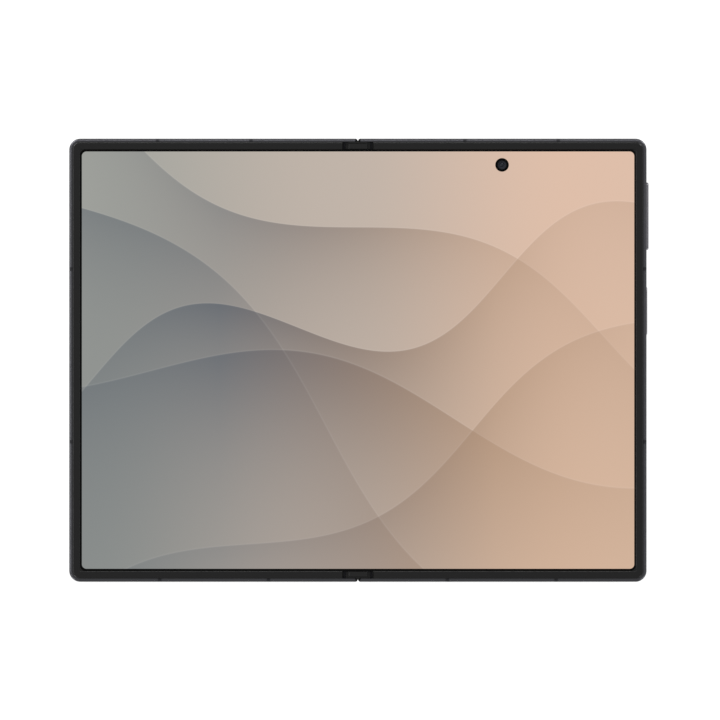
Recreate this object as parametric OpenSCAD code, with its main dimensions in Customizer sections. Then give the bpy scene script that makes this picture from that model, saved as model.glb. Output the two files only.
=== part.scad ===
// Book-style foldable phone, lying open on its back with the inner display up.
// X runs across the hinge, Y along it and Z out of the inner display. The main half is at +X.
// Modules are drawn from the back plane up, and stand() lifts them by the camera bump.

/* [Phone] */
// Width of one half, from the hinge line to its outer edge
half_w = 80.7; // [76:0.1:92]
// Height of the phone along the hinge
phone_h = 123.9; // [120:0.1:150]
// Radius of the outer corners, seen from the front
corner_r = 3.1; // [2.6:0.1:5]
// Radius of the small corners where the two halves meet
seam_r = 0.7; // [0.3:0.05:0.9]
// Roundness of the frame's front edge
front_edge_r = 0.65; // [0.3:0.05:0.65]
// Roundness of the frame's back edge
back_edge_r = 0.8; // [0.3:0.05:0.85]

/* [Thickness] */
// Back plane to the front rim of the metal frame
frame_t = 4.45; // [4.4:0.05:5]
// How far the bezel stands above the metal frame
bezel_rise = 0.4; // [0.3:0.05:0.5]
// How far the display lies below the bezel's rim
display_drop = 0.45; // [0.4:0.05:0.5]
// Thickness of the inner display
display_t = 0.5; // [0.4:0.05:0.6]
// Thickness of the deck beneath the display
deck_t = 0.6; // [0.5:0.05:0.7]
// Thickness of the rear glass and of the cover display's glass
glass_t = 0.6; // [0.5:0.05:0.7]

/* [Frame] */
// Width of the metal rim, seen from the front
wall_t = 0.9; // [0.8:0.05:1.2]
// Width of the metal rim, seen from the back
rear_rim = 0.9; // [0.7:0.05:1.1]
// Wall between the outside and the inner cavity
cavity_wall = 2.2; // [2:0.1:2.6]
// Width of an antenna break
break_w = 1.0; // [0.6:0.1:1.4]

/* [Bezel and display] */
// Outer face to the bezel's inner edge
bezel_inset = 3.05; // [2.9:0.05:3.3]
// Outer face to the edge of the inner display
display_inset = 2.5; // [2.4:0.05:2.8]
// Roundness of the bezel's outer edge
bezel_outer_r = 0.35; // [0.2:0.05:0.4]
// Radius of the bezel's inner corners
bezel_corner_r = 1.5; // [0.8:0.1:2.5]
// Hinge line to the ends of the bezel
bezel_end_x = 4.35; // [4.3:0.05:5]
// Outer edge of the main half to the inner camera
inner_cam_from_side = 40.4; // [30:0.1:48]
// Top edge of the phone to the inner camera
inner_cam_from_top = 7.35; // [7:0.05:9]
// Diameter of the inner camera's window in the display
inner_cam_d = 3.7; // [3:0.05:4.2]

/* [Hinge] */
// Hinge line to each fold axis
axis_x = 2.0; // [1.9:0.05:2.1]
// Gap between the bezels when the phone is shut
fold_gap = 0.1; // [0.06:0.02:0.2]
// Running gap between the spine and the halves
spine_gap = 0.1; // [0.08:0.02:0.14]
// Wall of the spine cover
spine_wall = 0.45; // [0.35:0.05:0.5]
// Height to which the spine cover's sides reach
spine_side_z = 2.6; // [2.4:0.05:2.7]
// Radius of the hinge shafts where they carry the arms
shaft_r = 0.5; // [0.4:0.05:0.55]
// Radius of the hinge shafts where they carry the gears
shaft_neck_r = 0.32; // [0.25:0.01:0.36]
// Radius of the arms' knuckles
knuckle_r = 0.9; // [0.8:0.05:0.92]
// Thickness of the arms' plates
arm_t = 0.6; // [0.5:0.05:0.7]
// Width of an arm along the hinge
arm_w = 4.0; // [3:0.5:5]
// Distance that an arm's plate reaches past its shaft
arm_reach = 6.0; // [5:0.1:6.2]
// Top of a hinge module to the top edge of the phone
module_from_end = 5.0; // [4.5:0.5:12]
// Thickness of a bracket's lugs
lug_t = 1.2; // [0.9:0.1:1.5]
// Length of the hinge springs
spring_l = 7.0; // [5:0.5:9]
// Radius of the springs' wire
wire_r = 0.1; // [0.08:0.01:0.12]
// Turns of each spring
spring_turns = 7; // [5:1:9]
// Number of teeth on each hinge gear
gear_teeth = 10; // [8:2:12]
// Thickness of the hinge gears
gear_t = 2.0; // [1.5:0.1:2.5]
// Radius of the idler gears' axles
idler_axle_r = 0.25; // [0.2:0.01:0.27]
// Hinge line to the pivots of the wing plates
wing_pivot_x = 9.0; // [8.8:0.1:10]
// Thickness of the wing plates
wing_t = 0.4; // [0.3:0.05:0.45]
// Hinge line to the inner edge of the wing plates
wing_end_x = 1.4; // [1.2:0.1:2]
// Width of the raised middle of the hinge end caps, across the hinge
cap_w = 5.3; // [4:0.1:5.3]
// Length of the hinge end caps, along the hinge
cap_l = 1.85; // [1.5:0.05:2.2]
// Length of the low lip at the outer end of each hinge end cap
cap_lip_l = 0.25; // [0.2:0.05:0.4]
// Width of the groove between that lip and the raised middle
cap_groove_w = 0.25; // [0.2:0.05:0.4]
// Height of the shoulders of the hinge end caps
cap_shoulder_z = 3.3; // [3:0.1:3.5]

/* [Rear cameras] */
// Width of the camera island
island_w = 18.0; // [17:0.5:20]
// Length of the camera island
island_l = 54.0; // [52:0.5:58]
// Height of the camera island above the back
island_t = 1.6; // [1.2:0.1:2]
// Distance of the island from the phone's outer edges
island_inset = 3.9; // [3.5:0.1:6]
// Height of the lens rings above the island
ring_rise = 1.3; // [0.8:0.1:1.6]
// Outer radius of the lens rings
ring_r = 7.4; // [6.5:0.1:7.6]
// Width of the lens rings
ring_w = 1.0; // [0.8:0.1:1.4]
// Radius of the flash
flash_r = 1.8; // [1.4:0.1:2.4]

/* [Keys and ports] */
// Length of the volume rocker
volume_l = 18.9; // [15:0.1:22]
// Top edge of the phone to the centre of the volume rocker
volume_from_top = 21.65; // [19:0.05:25]
// How far the volume rocker stands out
volume_rise = 0.59; // [0.3:0.01:0.8]
// Length of the power key
power_l = 13.3; // [10:0.1:16]
// Top edge of the phone to the centre of the power key
power_from_top = 48.15; // [47:0.05:54]
// How far the power key stands out
power_rise = 0.22; // [0.2:0.01:0.6]
// Height of the keys, through the phone's thickness
key_h = 1.9; // [1.6:0.1:2]
// Width of the opening of the charging port
usb_w = 8.34; // [8:0.02:9]
// Height of the opening of the charging port
usb_h = 2.56; // [2.3:0.02:2.6]
// Length of the charging port
usb_l = 7.35; // [6.5:0.05:8.5]
// Radius of the speaker and microphone holes
port_r = 0.45; // [0.3:0.05:0.6]
// Distance between neighbouring speaker holes
port_pitch = 2.0; // [1.6:0.1:2.1]
// Width of the SIM tray
tray_w = 11.0; // [10:0.5:13]
// Length of the SIM tray
tray_l = 18.0; // [16:0.5:20]
// Thickness of the SIM tray
tray_t = 0.9; // [0.7:0.05:1.2]

/* [Inner parts] */
// Thickness of the circuit boards
board_t = 0.8; // [0.6:0.1:1]
// Height of the shield cans
shield_t = 1.4; // [1:0.1:1.5]
// Length of the logic board, from the battery to the top wall
board_l = 35.6; // [32:0.1:40]
// Length of the cover half's circuit board
sub_l = 40.0; // [30:1:44]
// Length of the loudspeaker
speaker_l = 22.0; // [18:1:24]
// Width of the loudspeaker
speaker_w = 9.0; // [8:0.5:10]
// Radius of the vibration motor
motor_r = 4.6; // [4:0.1:5.5]
// Width of the charging coil's winding
coil_w = 9.5; // [7:0.5:12]
// Radius of the screws' shanks
screw_r = 0.45; // [0.35:0.05:0.5]
// Radius of the screws' heads
screw_head_r = 0.95; // [0.8:0.05:1.1]

/* [Hidden] */
$fn = 64;
eps = 0.01;
far = 200;

// Clearances
fit = 0.05;      // between pieces that are glued or laid together
run = 0.05;      // round a shaft that turns in its bore
grip = 0.02;     // round a shaft that is fixed in its bore
key_gap = 0.1;   // round a key in its slot
side_gap = 0.1;  // beside a turning piece, along its axis
tray_gap = 0.15; // round the SIM tray

// Levels above the back plane
bump_h = island_t + ring_rise;
rim_z = frame_t + bezel_rise;
display_top = rim_z - display_drop;
deck_top = display_top - display_t;
deck_z = deck_top - deck_t;
axis_z = rim_z + fold_gap / 2 - axis_x;
lip_t = axis_z - axis_x - spine_gap;
cap_drop = 0.15;
cap_lip_drop = 0.25;
cap_groove_d = 0.9;
cap_z = rim_z - cap_drop;
cavity_z = glass_t + fit;
edge_z = (cavity_z + deck_z) / 2;
inner_h = deck_z - cavity_z - 2 * fit;

// Places across the hinge
seam = fold_gap / 2;
spine_room_x = 2 * axis_x + spine_gap;
rail_w = 0.9;
rail_x = spine_room_x + rail_w;
bay_wall = 0.9;
cavity_x = wing_pivot_x + bay_wall;
wing_z = deck_top - fit - wing_t / 2 - fit;
bay_z = axis_z - arm_t;
seat_l = phone_h - 2 * wall_t;
spine_l = seat_l - 2 * spine_gap;
fold_display_h = spine_l - 2 * (cap_l + side_gap);
bay_l = fold_display_h + 4 * side_gap;
fold_past_pivot = 0.6;
fold_x = wing_pivot_x + fold_past_pivot;
inner_cam_x = half_w - inner_cam_from_side;
inner_cam_y = phone_h / 2 - inner_cam_from_top;
display_r = corner_r - display_inset;

// Nose of an end cap, in the valley that the rounded frames leave over the seam
nose_l = 0.4;
nose_w = 2 * (axis_x + axis_z - frame_t - fit);
nose_z = axis_z + 0.3;
nose_top = frame_t - fit;

// Bezel
bezel_round_r = 0.25;
bezel_fillet_drop = 0.05;

// Hinge gears
gear_pitch_r = axis_x / 3;
gear_module = 2 * gear_pitch_r / gear_teeth;
gear_tip_r = gear_pitch_r + 0.85 * gear_module;
gear_root_r = gear_pitch_r - 1.2 * gear_module;
tooth_tip = 0.28 * gear_module;
tooth_base = 0.72 * gear_module;

// Spine, brackets and the flex cable that crosses them
base_z = axis_z - axis_x + spine_wall;
base_t = 0.3;
lug_h = axis_z - base_z;
lug_r = knuckle_r + 0.02;
cable_w = 12;
cable_t = 0.15;
cable_z = spine_side_z + side_gap;
cable_gap = 0.1;
cable_past_cavity = 2;
cable_bend_in = 0.7;

// Stations of a hinge module, counted from its outer end towards the middle of the phone
gear_v = lug_t + side_gap;
lug_b_v = gear_v + gear_t + side_gap;
arm_v = lug_b_v + lug_t + side_gap;
plate_v = arm_v + arm_w + side_gap;
plate_t = 1.0;
spring_v = plate_v + plate_t + fit;
lug_c_v = spring_v + spring_l + fit;
module_l = lug_c_v + lug_t;
module_y = phone_h / 2 - module_from_end;
arm_hole_pitch = 2 * screw_head_r;
arm_hole_from_end = 1.3;
arm_hole_x = axis_x + arm_reach - arm_hole_from_end;
arm_screw_l = 1.4;
arm_screw_head_r = 0.8;
arm_screw_head_t = 0.2;

// Hinge springs
spring_gap = 0.12;
coil_r = shaft_r + spring_gap + wire_r;
ring_sides = 6;
rings_per_turn = 8;
spring_rings = spring_turns * rings_per_turn;
spring_pitch = (spring_l - 2 * wire_r) / spring_turns;
spring_climb = atan(spring_pitch / (2 * PI * coil_r));

// Antenna breaks, counted from the outer edge, and on the outer edge from the top and the bottom
top_break_in = [50.8, 24.7];
bottom_break_in = [55.7, 25.3];
side_break_top = 36.45;
side_break_bottom = 39.15;
top_breaks = [for (d = top_break_in) half_w - d];
bottom_breaks = [for (d = bottom_break_in) half_w - d];
side_breaks = [phone_h / 2 - side_break_top, side_break_bottom - phone_h / 2];

// Rear camera places
island_x = half_w - island_inset - island_w / 2;
island_y = phone_h / 2 - island_inset - island_l / 2;
lens_pitch = (island_l - island_w) / 2;
lens_ys = [for (k = [-1:1]) island_y + k * lens_pitch];
glass_r = ring_r - ring_w;
island_edge_r = 0.7;
island_seat = 1.0;
ring_foot_gap = 0.3;
ring_chamfer = 0.2;
lens_z = 0.25;
lens_t = 0.5;
lens_seat = 0.25;
sensor_w = 11.5;
sensor_corner_r = 0.8;
barrel_r = 4.6;
barrel_gap = 0.2;
lamp_r = 1.2;
flash_from_island = 4.5;
flash_x = island_x - island_w / 2 - flash_from_island;
flash_y = island_y + lens_pitch;

// Inner camera
cam_w = 5.4;
cam_corner_r = 0.6;
cam_from_cover = 0.4;
cam_step = 0.2;
cam_flange = 0.3;
cam_gap = 0.12;

// Speaker and microphone holes
speaker_holes = 8;
speaker_hole_shift = 2;
earpiece_holes = 6;
mic_from_usb = 9;
cover_mic_shift = 18;
cam_hole_gap = 0.5;

// Keys: a flange behind the wall, and the switches that it presses
volume_y = phone_h / 2 - volume_from_top;
power_y = phone_h / 2 - power_from_top;
flange_t = 0.5;
flange_h = key_h + 0.4;
rocker_gap = 0.3;
flange_past_end = 0.7;
flange_x = half_w - cavity_wall - rocker_gap;
pivot_x = flange_x - flange_t / 2;
pivot_r = 0.35;
post_l = 1.0;
switch_gap = 0.2;
switch_x = flange_x - flange_t - switch_gap;
switch_t = 0.5;
switch_l = 3.2;
switch_h = 1.6;
switch_from_end = 3.45;
strip_t = 0.2;
strip_h = 2.2;
strip_past_switch = 0.8;
clip_t = 0.6;
clip_l = 1.4;
volume_step = 0.4;
power_step = 0.2;

// Inner layout that both halves share
board_z = deck_z - fit - board_t;
head_t = 0.3;
screw_in = 3.5;
screw_from_cam = 9.7;
battery_gap = 2.4;
battery_corner_r = 1.5;
battery_from_speaker = 0.8;
battery_x = cavity_x + battery_gap;
battery_y = -phone_h / 2 + cavity_wall + speaker_w + battery_from_speaker;
battery_from_side = 26.4;
battery_w = half_w - battery_from_side - battery_x;
board_gap = 0.6;
board_from_battery = 1.5;
board_y1 = phone_h / 2 - cavity_wall - board_gap;
board_y0 = board_y1 - board_l;
battery_l = board_y0 - board_from_battery - battery_y;
motor_from_speaker = 12.75;
sub_from_wall = 1.75;

// Inner layout of the cover half
cover_cam_r = 2.1;
cover_cam_w = 6;
panel_gap = 0.3;
panel_corner_r = 0.6;
panel_t = 0.7;
stack_z = cavity_z + panel_t + fit;
side_room = 3.2;
sub_gap = 0.4;
sub_x0 = battery_x + battery_w + side_room;
sub_x1 = half_w - cavity_wall - sub_gap;
sub_y1 = phone_h / 2 - cavity_wall - sub_from_wall;
sub_y0 = sub_y1 - sub_l;
cover_screw_spots = [[sub_x0 + screw_in, sub_y1 - screw_in], [sub_x1 - screw_in, sub_y1 - screw_in],
                     [sub_x0 + screw_in, sub_y0 + screw_in]];
cover_battery_shift = 6;
reader_wall = 0.2;
tray_y = 0;
tray_z = stack_z + reader_wall + tray_gap + tray_t / 2;
tray_plate_x = half_w - tray_l;
tray_face_h = 1.7;
tray_face_t = 0.8;
tray_face_side = 1.3;
tray_face_w = tray_w + 2 * tray_face_side;
tray_pin_r = 0.4;
tray_stop_gap = 0.5;
card = [12.5, 9.0];
card_in = 1;
card_t = 0.65;
earpiece_x = inner_cam_x;
earpiece_l = 14.0;
earpiece_w = 2.8;

// Inner layout of the main half
wall_gap = 0.2;
speaker_from_side = 4.5;
speaker_x = half_w - cavity_wall - speaker_from_side - speaker_l / 2;
shield_z = board_z - shield_t;
coil_t = 0.25;
coil_gap = 0.05;
coil_side = 2;
coil_out_r = battery_w / 2 - coil_side;
coil_in_r = coil_out_r - coil_w;
battery_z = cavity_z + coil_t + coil_gap;
battery_t = deck_z - fit - battery_z;
board_x0 = cavity_x + board_gap;
board_x1 = island_x - island_w / 2 - board_gap;
board_corner_r = 1.0;
can_in = 4.4;
can_l = 10;
can_w = 10;
can_gap = 2;
can_from_cam = 6;
can_corner_r = 0.8;
main_screw_in = 2.9;
main_screw_xs = [board_x0 + main_screw_in, inner_cam_x + screw_from_cam];
main_screw_ys = [board_y0 + main_screw_in, board_y1 - main_screw_in];
main_screw_spots = [for (x = main_screw_xs, y = main_screw_ys) [x, y]];
usb_x = inner_cam_x;
usb_wall = 0.2;
usb_z = cavity_z + fit + usb_wall + usb_h / 2;
usb_from_face = 0.1;
usb_room = 1.2;
usb_back_t = 0.8;
tongue_t = 0.7;
tongue_in = 1.0;
tongue_side = 0.85;
motor_x = speaker_x + 2;
motor_y = -phone_h / 2 + cavity_wall + speaker_w + motor_from_speaker;

// Lifts a piece drawn from the back plane, so that the camera bump stands at zero.
module stand() {
  translate([0, 0, bump_h]) children();
}

// Turns the main half's drawing into the cover half's.
module cover_side() {
  mirror([1, 0, 0]) children();
}

// Draws its child at the upper end and its mirror image at the lower end of the hinge.
module both_ends() {
  children();
  mirror([0, 1, 0]) children();
}

// Plan of one half, inset from its outer edges and starting at x_in.
module plan(inset, x_in, r) {
  x1 = half_w - inset;
  y1 = phone_h / 2 - inset;
  translate([x_in, -y1 + r]) square([x1 - x_in, 2 * (y1 - r)]);
  translate([x_in, -y1]) square([x1 - r - x_in, 2 * y1]);
  for (s = [-1, 1]) translate([x1 - r, s * (y1 - r)]) circle(r);
}

// Carries a profile, drawn outwards from the corner's centre, round the three outer edges.
module sweep_rim(x_in) {
  x1 = half_w - corner_r;
  y1 = phone_h / 2 - corner_r;
  translate([x1, y1, 0]) rotate([90, 0, 0]) linear_extrude(2 * y1) children();
  for (s = [-1, 1]) {
    translate([x1, s * y1, 0]) rotate([0, 0, s > 0 ? 0 : -90]) rotate_extrude(angle = 90) children();
    translate([x_in, s * y1, 0])
      mirror([0, s < 0 ? 1 : 0, 0]) rotate([90, 0, 90]) linear_extrude(x1 - x_in) children();
  }
}

// Round-ended plan of a capsule, l long in Y and w wide in X.
module capsule2d(w, l) {
  square([w, l - w], center = true);
  for (s = [-1, 1]) translate([0, s * (l - w) / 2]) circle(w / 2);
}

// A box with rounded vertical corners, centred in plan.
module slab(w, l, h, r) {
  linear_extrude(h) {
    square([w - 2 * r, l], center = true);
    square([w, l - 2 * r], center = true);
    for (i = [-1, 1], j = [-1, 1]) translate([i * (w / 2 - r), j * (l / 2 - r)]) circle(r);
  }
}

// Profile of the metal frame's edge: flat sides with rounded front and back edges.
module frame_profile() {
  difference() {
    square([corner_r, frame_t]);
    difference() {
      translate([corner_r - front_edge_r, frame_t - front_edge_r]) square(front_edge_r + 1);
      translate([corner_r - front_edge_r, frame_t - front_edge_r]) circle(front_edge_r);
    }
    difference() {
      translate([corner_r - back_edge_r, -1]) square([back_edge_r + 1, back_edge_r + 1]);
      translate([corner_r - back_edge_r, back_edge_r]) circle(back_edge_r);
    }
  }
}

// Outer form of one half's frame, before its pockets are cut.
module frame_block() {
  sweep_rim(seam) frame_profile();
  translate([seam, -phone_h / 2 + corner_r, 0])
    cube([half_w - corner_r - seam, phone_h - 2 * corner_r, frame_t]);
}

// Space that the hinge spine and its sweep need in each half.
module spine_room() {
  translate([-1, -seat_l / 2, lip_t]) cube([spine_room_x + 1, seat_l, far]);
  translate([spine_room_x - 1, -bay_l / 2, bay_z])
    cube([wing_pivot_x - spine_room_x + 1, bay_l, far]);
  rotate([90, 0, 0]) translate([wing_pivot_x, wing_z, -bay_l / 2])
    cylinder(r = wing_t / 2 + 2 * fit, h = bay_l);
}

// Rounds the frame's upper inner corner about the fold axis, and its plan corners at the seam.
module seam_rounding() {
  difference() {
    translate([-1, -far / 2, axis_z]) cube([axis_x + 1, far, far]);
    translate([axis_x, far / 2 + 1, axis_z]) rotate([90, 0, 0]) cylinder(r = axis_x - seam, h = far + 2);
  }
  for (s = [-1, 1]) translate([seam, s * phone_h / 2, -1]) difference() {
    translate([-1, -seam_r, 0]) cube([seam_r + 1, 2 * seam_r, far]);
    translate([seam_r, -s * seam_r, -1]) cylinder(r = seam_r, h = far + 2);
  }
}

// Boxes across the rim where the antenna breaks lie.
module break_boxes() {
  for (x = top_breaks) translate([x - break_w / 2, phone_h / 2 - wall_t, -1]) cube([break_w, far, far]);
  for (x = bottom_breaks) translate([x - break_w / 2, -phone_h / 2 + wall_t - far, -1])
    cube([break_w, far, far]);
  for (y = side_breaks) translate([half_w - wall_t, y - break_w / 2, -1]) cube([far, break_w, far]);
}

// Screw holes under an arm's plate, in both hinge modules.
module arm_screw_spots() {
  y = module_y - arm_v - arm_w / 2;
  both_ends() for (s = [-1, 1]) translate([arm_hole_x, y + s * arm_hole_pitch / 2, bay_z]) children();
}

// One half's frame, with what both halves share.
module half_frame() {
  difference() {
    frame_block();
    translate([0, 0, deck_top]) linear_extrude(far) plan(wall_t, -1, corner_r - wall_t);
    translate([0, 0, -1]) linear_extrude(1 + cavity_z) plan(rear_rim, rail_x, corner_r - rear_rim);
    translate([0, 0, eps]) linear_extrude(deck_z - eps) plan(cavity_wall, cavity_x, corner_r - cavity_wall);
    spine_room();
    seam_rounding();
    break_boxes();
    arm_screw_spots() translate([0, 0, -arm_screw_l + arm_t])
      cylinder(r = screw_r + grip, h = arm_screw_l + 1);
    cable_slot();
  }
}

// Way for the hinge's flex cable through the end of the wing bay.
module cable_slot() {
  translate([wing_pivot_x - 1, -cable_w / 2 - 2 * cable_gap, cable_z - cable_gap])
    cube([bay_wall + 2, cable_w + 4 * cable_gap, cable_t + 2 * cable_gap]);
}

// A row of count round holes, centred on x, through the top (s = 1) or bottom (s = -1) wall.
module wall_holes(x, count, s) {
  for (i = [0:count - 1])
    translate([x + (i - (count - 1) / 2) * port_pitch, s * (phone_h / 2 + 1), edge_z])
      rotate([s * 90, 0, 0]) cylinder(r = port_r, h = cavity_wall + 1 + eps);
}

// Slot for a key through the outer wall.
module key_slot(y, l) {
  translate([half_w + 1, y, edge_z]) rotate([0, -90, 0])
    linear_extrude(cavity_wall + 1 + eps) capsule2d(key_h + 2 * key_gap, l + 2 * key_gap);
}

module main_frame() {
  color([0.36, 0.36, 0.38]) stand() difference() {
    half_frame();
    translate([inner_cam_x, inner_cam_y, 0]) cylinder(r = inner_cam_d / 2 + cam_hole_gap, h = far);
    key_slot(volume_y, volume_l);
    key_slot(power_y, power_l);
    usb_pocket();
    wall_holes(speaker_x + speaker_hole_shift, speaker_holes, -1);
    wall_holes(usb_x - mic_from_usb, 1, -1);
    wall_holes(inner_cam_x, 1, 1);
    for (p = main_screw_spots) translate([p[0], p[1], deck_z - 1])
      cylinder(r = screw_r + grip, h = deck_t + 2);
  }
}

// Pocket of the charging port, through the bottom wall and up into the deck.
module usb_pocket() {
  w = usb_w + 2 * usb_wall + 2 * fit;
  h = usb_h + 2 * usb_wall + 2 * fit;
  translate([usb_x, -phone_h / 2 - 1, usb_z]) rotate([-90, 0, 0])
    linear_extrude(usb_l + usb_room) rotate(90) capsule2d(h, w);
}

module main_antenna_breaks() {
  color([0.3, 0.3, 0.32]) stand() antenna_breaks();
}

module antenna_breaks() {
  intersection() {
    frame_block();
    break_boxes();
    difference() {
      translate([0, 0, -1]) linear_extrude(far) plan(-1, -1, corner_r);
      translate([0, 0, deck_top]) linear_extrude(far) plan(wall_t, -2, corner_r - wall_t);
      translate([0, 0, -1]) linear_extrude(1 + cavity_z) plan(rear_rim, rail_x, corner_r - rear_rim);
    }
  }
}

module main_rear_cover() {
  color([0.2, 0.2, 0.22]) stand() difference() {
    rear_glass();
    translate([island_x, island_y, -1])
      linear_extrude(far) capsule2d(island_w - 2 * island_seat, island_l - 2 * island_seat);
    translate([flash_x, flash_y, -1]) cylinder(r = flash_r + fit, h = far);
  }
}

// The glass that closes a half's back, set into the rear rim.
module rear_glass() {
  inset = rear_rim + fit;
  linear_extrude(glass_t) plan(inset, rail_x + fit, corner_r - inset);
}

// The camera island: a round-ended plate with softly rounded edges.
module camera_island() {
  color([0.22, 0.22, 0.24]) stand() translate([island_x, island_y, -island_t]) difference() {
    union() {
      for (s = [-1, 1]) translate([0, s * lens_pitch, 0]) rotate_extrude() island_profile();
      rotate([90, 0, 0]) translate([0, 0, -lens_pitch]) linear_extrude(2 * lens_pitch) {
        island_profile();
        mirror([1, 0]) island_profile();
      }
    }
    for (k = [-1:1]) translate([0, k * lens_pitch, -1]) cylinder(r = ring_r + fit, h = far);
  }
}

// Half of the island's section, with its rounded outer edge.
module island_profile() {
  x = island_w / 2 - island_edge_r;
  difference() {
    square([island_w / 2, island_t]);
    difference() {
      translate([x, -1]) square([island_edge_r + 1, island_edge_r + 1]);
      translate([x, island_edge_r]) circle(island_edge_r);
    }
  }
}

// Lens rings: turned, with a chamfered outer edge and a groove inside that holds the glass.
module camera_lens_rings() {
  color([0.4, 0.4, 0.42]) stand() for (y = lens_ys) translate([island_x, y, -bump_h])
    rotate_extrude() translate([glass_r, 0]) difference() {
      square([ring_w, bump_h - ring_foot_gap]);
      translate([ring_w, 0]) rotate(45) square(ring_chamfer * sqrt(2), center = true);
      translate([0, lens_z - fit]) square([lens_seat + fit, lens_t + 2 * fit]);
    }
}

module camera_lens_glasses() {
  color([0.08, 0.09, 0.1]) stand() for (y = lens_ys)
    translate([island_x, y, lens_z - bump_h]) cylinder(r = glass_r + lens_seat, h = lens_t);
}

// Camera modules: a lens barrel behind each glass, on a square sensor housing.
module camera_modules() {
  barrel_z = lens_z + lens_t + fit - bump_h;
  color([0.12, 0.12, 0.13]) stand() for (y = lens_ys) translate([island_x, y, 0]) {
    translate([0, 0, cavity_z]) slab(sensor_w, sensor_w, inner_h + fit, sensor_corner_r);
    translate([0, 0, barrel_z]) cylinder(r = barrel_r, h = cavity_z - barrel_z + eps);
    translate([0, 0, -ring_foot_gap]) cylinder(r = glass_r - barrel_gap, h = cavity_z + ring_foot_gap);
  }
}

// Flash: a clear lens flush with the back and its lamp on the logic board.
module flash_lens() {
  color([0.95, 0.93, 0.85]) stand() translate([flash_x, flash_y, 0]) {
    cylinder(r = flash_r, h = glass_t);
    translate([0, 0, glass_t - eps]) cylinder(r = lamp_r, h = board_z - fit - glass_t);
  }
}

// Profile of the bezel: a foot on the deck and a lip over the display's edge.
module bezel_profile() {
  out_r = corner_r - wall_t - fit;
  in_r = corner_r - bezel_inset;
  foot_r = corner_r - display_inset + fit;
  round_r = bezel_round_r;
  edge_r = bezel_outer_r;
  difference() {
    union() {
      translate([foot_r, deck_top]) square([out_r - foot_r, rim_z - deck_top]);
      translate([in_r, display_top + fit]) square([out_r - in_r, rim_z - display_top - fit]);
    }
    difference() {
      translate([out_r - edge_r, rim_z - edge_r]) square(1);
      translate([out_r - edge_r, rim_z - edge_r]) circle(edge_r);
    }
    difference() {
      translate([in_r + round_r - 1, rim_z - round_r]) square(1);
      translate([in_r + round_r, rim_z - round_r]) circle(round_r);
    }
  }
}

// The raised plastic rim round three sides of a half's display.
module half_bezel() {
  sweep_rim(bezel_end_x) bezel_profile();
  x1 = half_w - bezel_inset;
  y1 = phone_h / 2 - bezel_inset;
  for (s = [-1, 1]) translate([x1, s * y1, display_top + fit]) mirror([0, s > 0 ? 0 : 1, 0])
    linear_extrude(display_drop - fit - bezel_fillet_drop) difference() {
      translate([-bezel_corner_r, -bezel_corner_r]) square(bezel_corner_r + 2 * eps);
      translate([-bezel_corner_r, -bezel_corner_r]) circle(bezel_corner_r);
    }
}

module main_bezel() {
  color([0.15, 0.15, 0.16]) stand() half_bezel();
}

module inner_camera() {
  r = inner_cam_d / 2;
  body_z = cavity_z + cam_from_cover;
  color([0.06, 0.06, 0.07]) stand() translate([inner_cam_x, inner_cam_y, 0]) {
    translate([0, 0, body_z]) slab(cam_w, cam_w, deck_z - 2 * fit - body_z, cam_corner_r);
    translate([0, 0, deck_z - cam_step]) cylinder(r = r + cam_flange, h = deck_t + cam_step - fit);
    translate([0, 0, deck_z]) cylinder(r = r - cam_gap, h = display_top - cam_gap - deck_z);
  }
}

// Flat part of the inner display on one half.
module half_display() {
  translate([0, 0, deck_top]) linear_extrude(display_t) plan(display_inset, fold_x, display_r);
}

module display_main_side() {
  color([0.75, 0.68, 0.6]) stand() difference() {
    half_display();
    translate([inner_cam_x, inner_cam_y, 0]) cylinder(r = inner_cam_d / 2, h = far);
  }
}

module main_battery() {
  color([0.14, 0.14, 0.15]) stand()
    translate([battery_x + battery_w / 2, battery_y + battery_l / 2, battery_z])
      slab(battery_w, battery_l, battery_t, battery_corner_r);
}

module logic_board() {
  color([0.1, 0.3, 0.2]) stand() difference() {
    translate([(board_x0 + board_x1) / 2, (board_y0 + board_y1) / 2, board_z])
      slab(board_x1 - board_x0, board_y1 - board_y0, board_t, board_corner_r);
    translate([inner_cam_x, inner_cam_y, 0])
      slab(cam_w + 2 * board_gap, cam_w + 2 * board_gap, far, cam_corner_r);
    for (p = main_screw_spots) translate([p[0], p[1], 0]) cylinder(r = screw_r + run, h = far);
  }
}

// Shield cans: two by the hinge and one beside the inner camera.
module board_shields() {
  w = inner_cam_x - can_from_cam - board_x0 - can_in;
  x = board_x0 + can_in + w / 2;
  y = board_y0 + can_in + can_l / 2;
  color([0.65, 0.65, 0.66]) stand() {
    for (k = [0, 1])
      translate([x, y + k * (can_l + can_gap), shield_z]) slab(w, can_l, shield_t, can_corner_r);
    translate([inner_cam_x - can_from_cam + can_gap + can_w / 2, y + can_gap, shield_z])
      slab(can_w, can_l + 2 * can_gap, shield_t, can_corner_r);
  }
}

module charging_coil() {
  color([0.72, 0.45, 0.25]) stand()
    translate([battery_x + battery_w / 2, battery_y + battery_l / 2, cavity_z])
      linear_extrude(coil_t) difference() {
        circle(coil_out_r);
        circle(coil_in_r);
      }
}

// Charging port: a round-ended shell with a contact tongue on its back wall.
module usb_c_port() {
  color([0.6, 0.6, 0.62]) stand()
    translate([usb_x, -phone_h / 2 + usb_from_face, usb_z]) rotate([-90, 0, 0]) rotate([0, 0, 90]) {
      linear_extrude(usb_l) difference() {
        capsule2d(usb_h + 2 * usb_wall, usb_w + 2 * usb_wall);
        capsule2d(usb_h, usb_w);
      }
      translate([0, 0, usb_l - usb_back_t])
        linear_extrude(usb_back_t) capsule2d(usb_h + usb_wall, usb_w + usb_wall);
      translate([-tongue_t / 2, -usb_w / 2 + tongue_side, tongue_in])
        cube([tongue_t, usb_w - 2 * tongue_side, usb_l - usb_back_t - tongue_in + eps]);
    }
}

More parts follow.
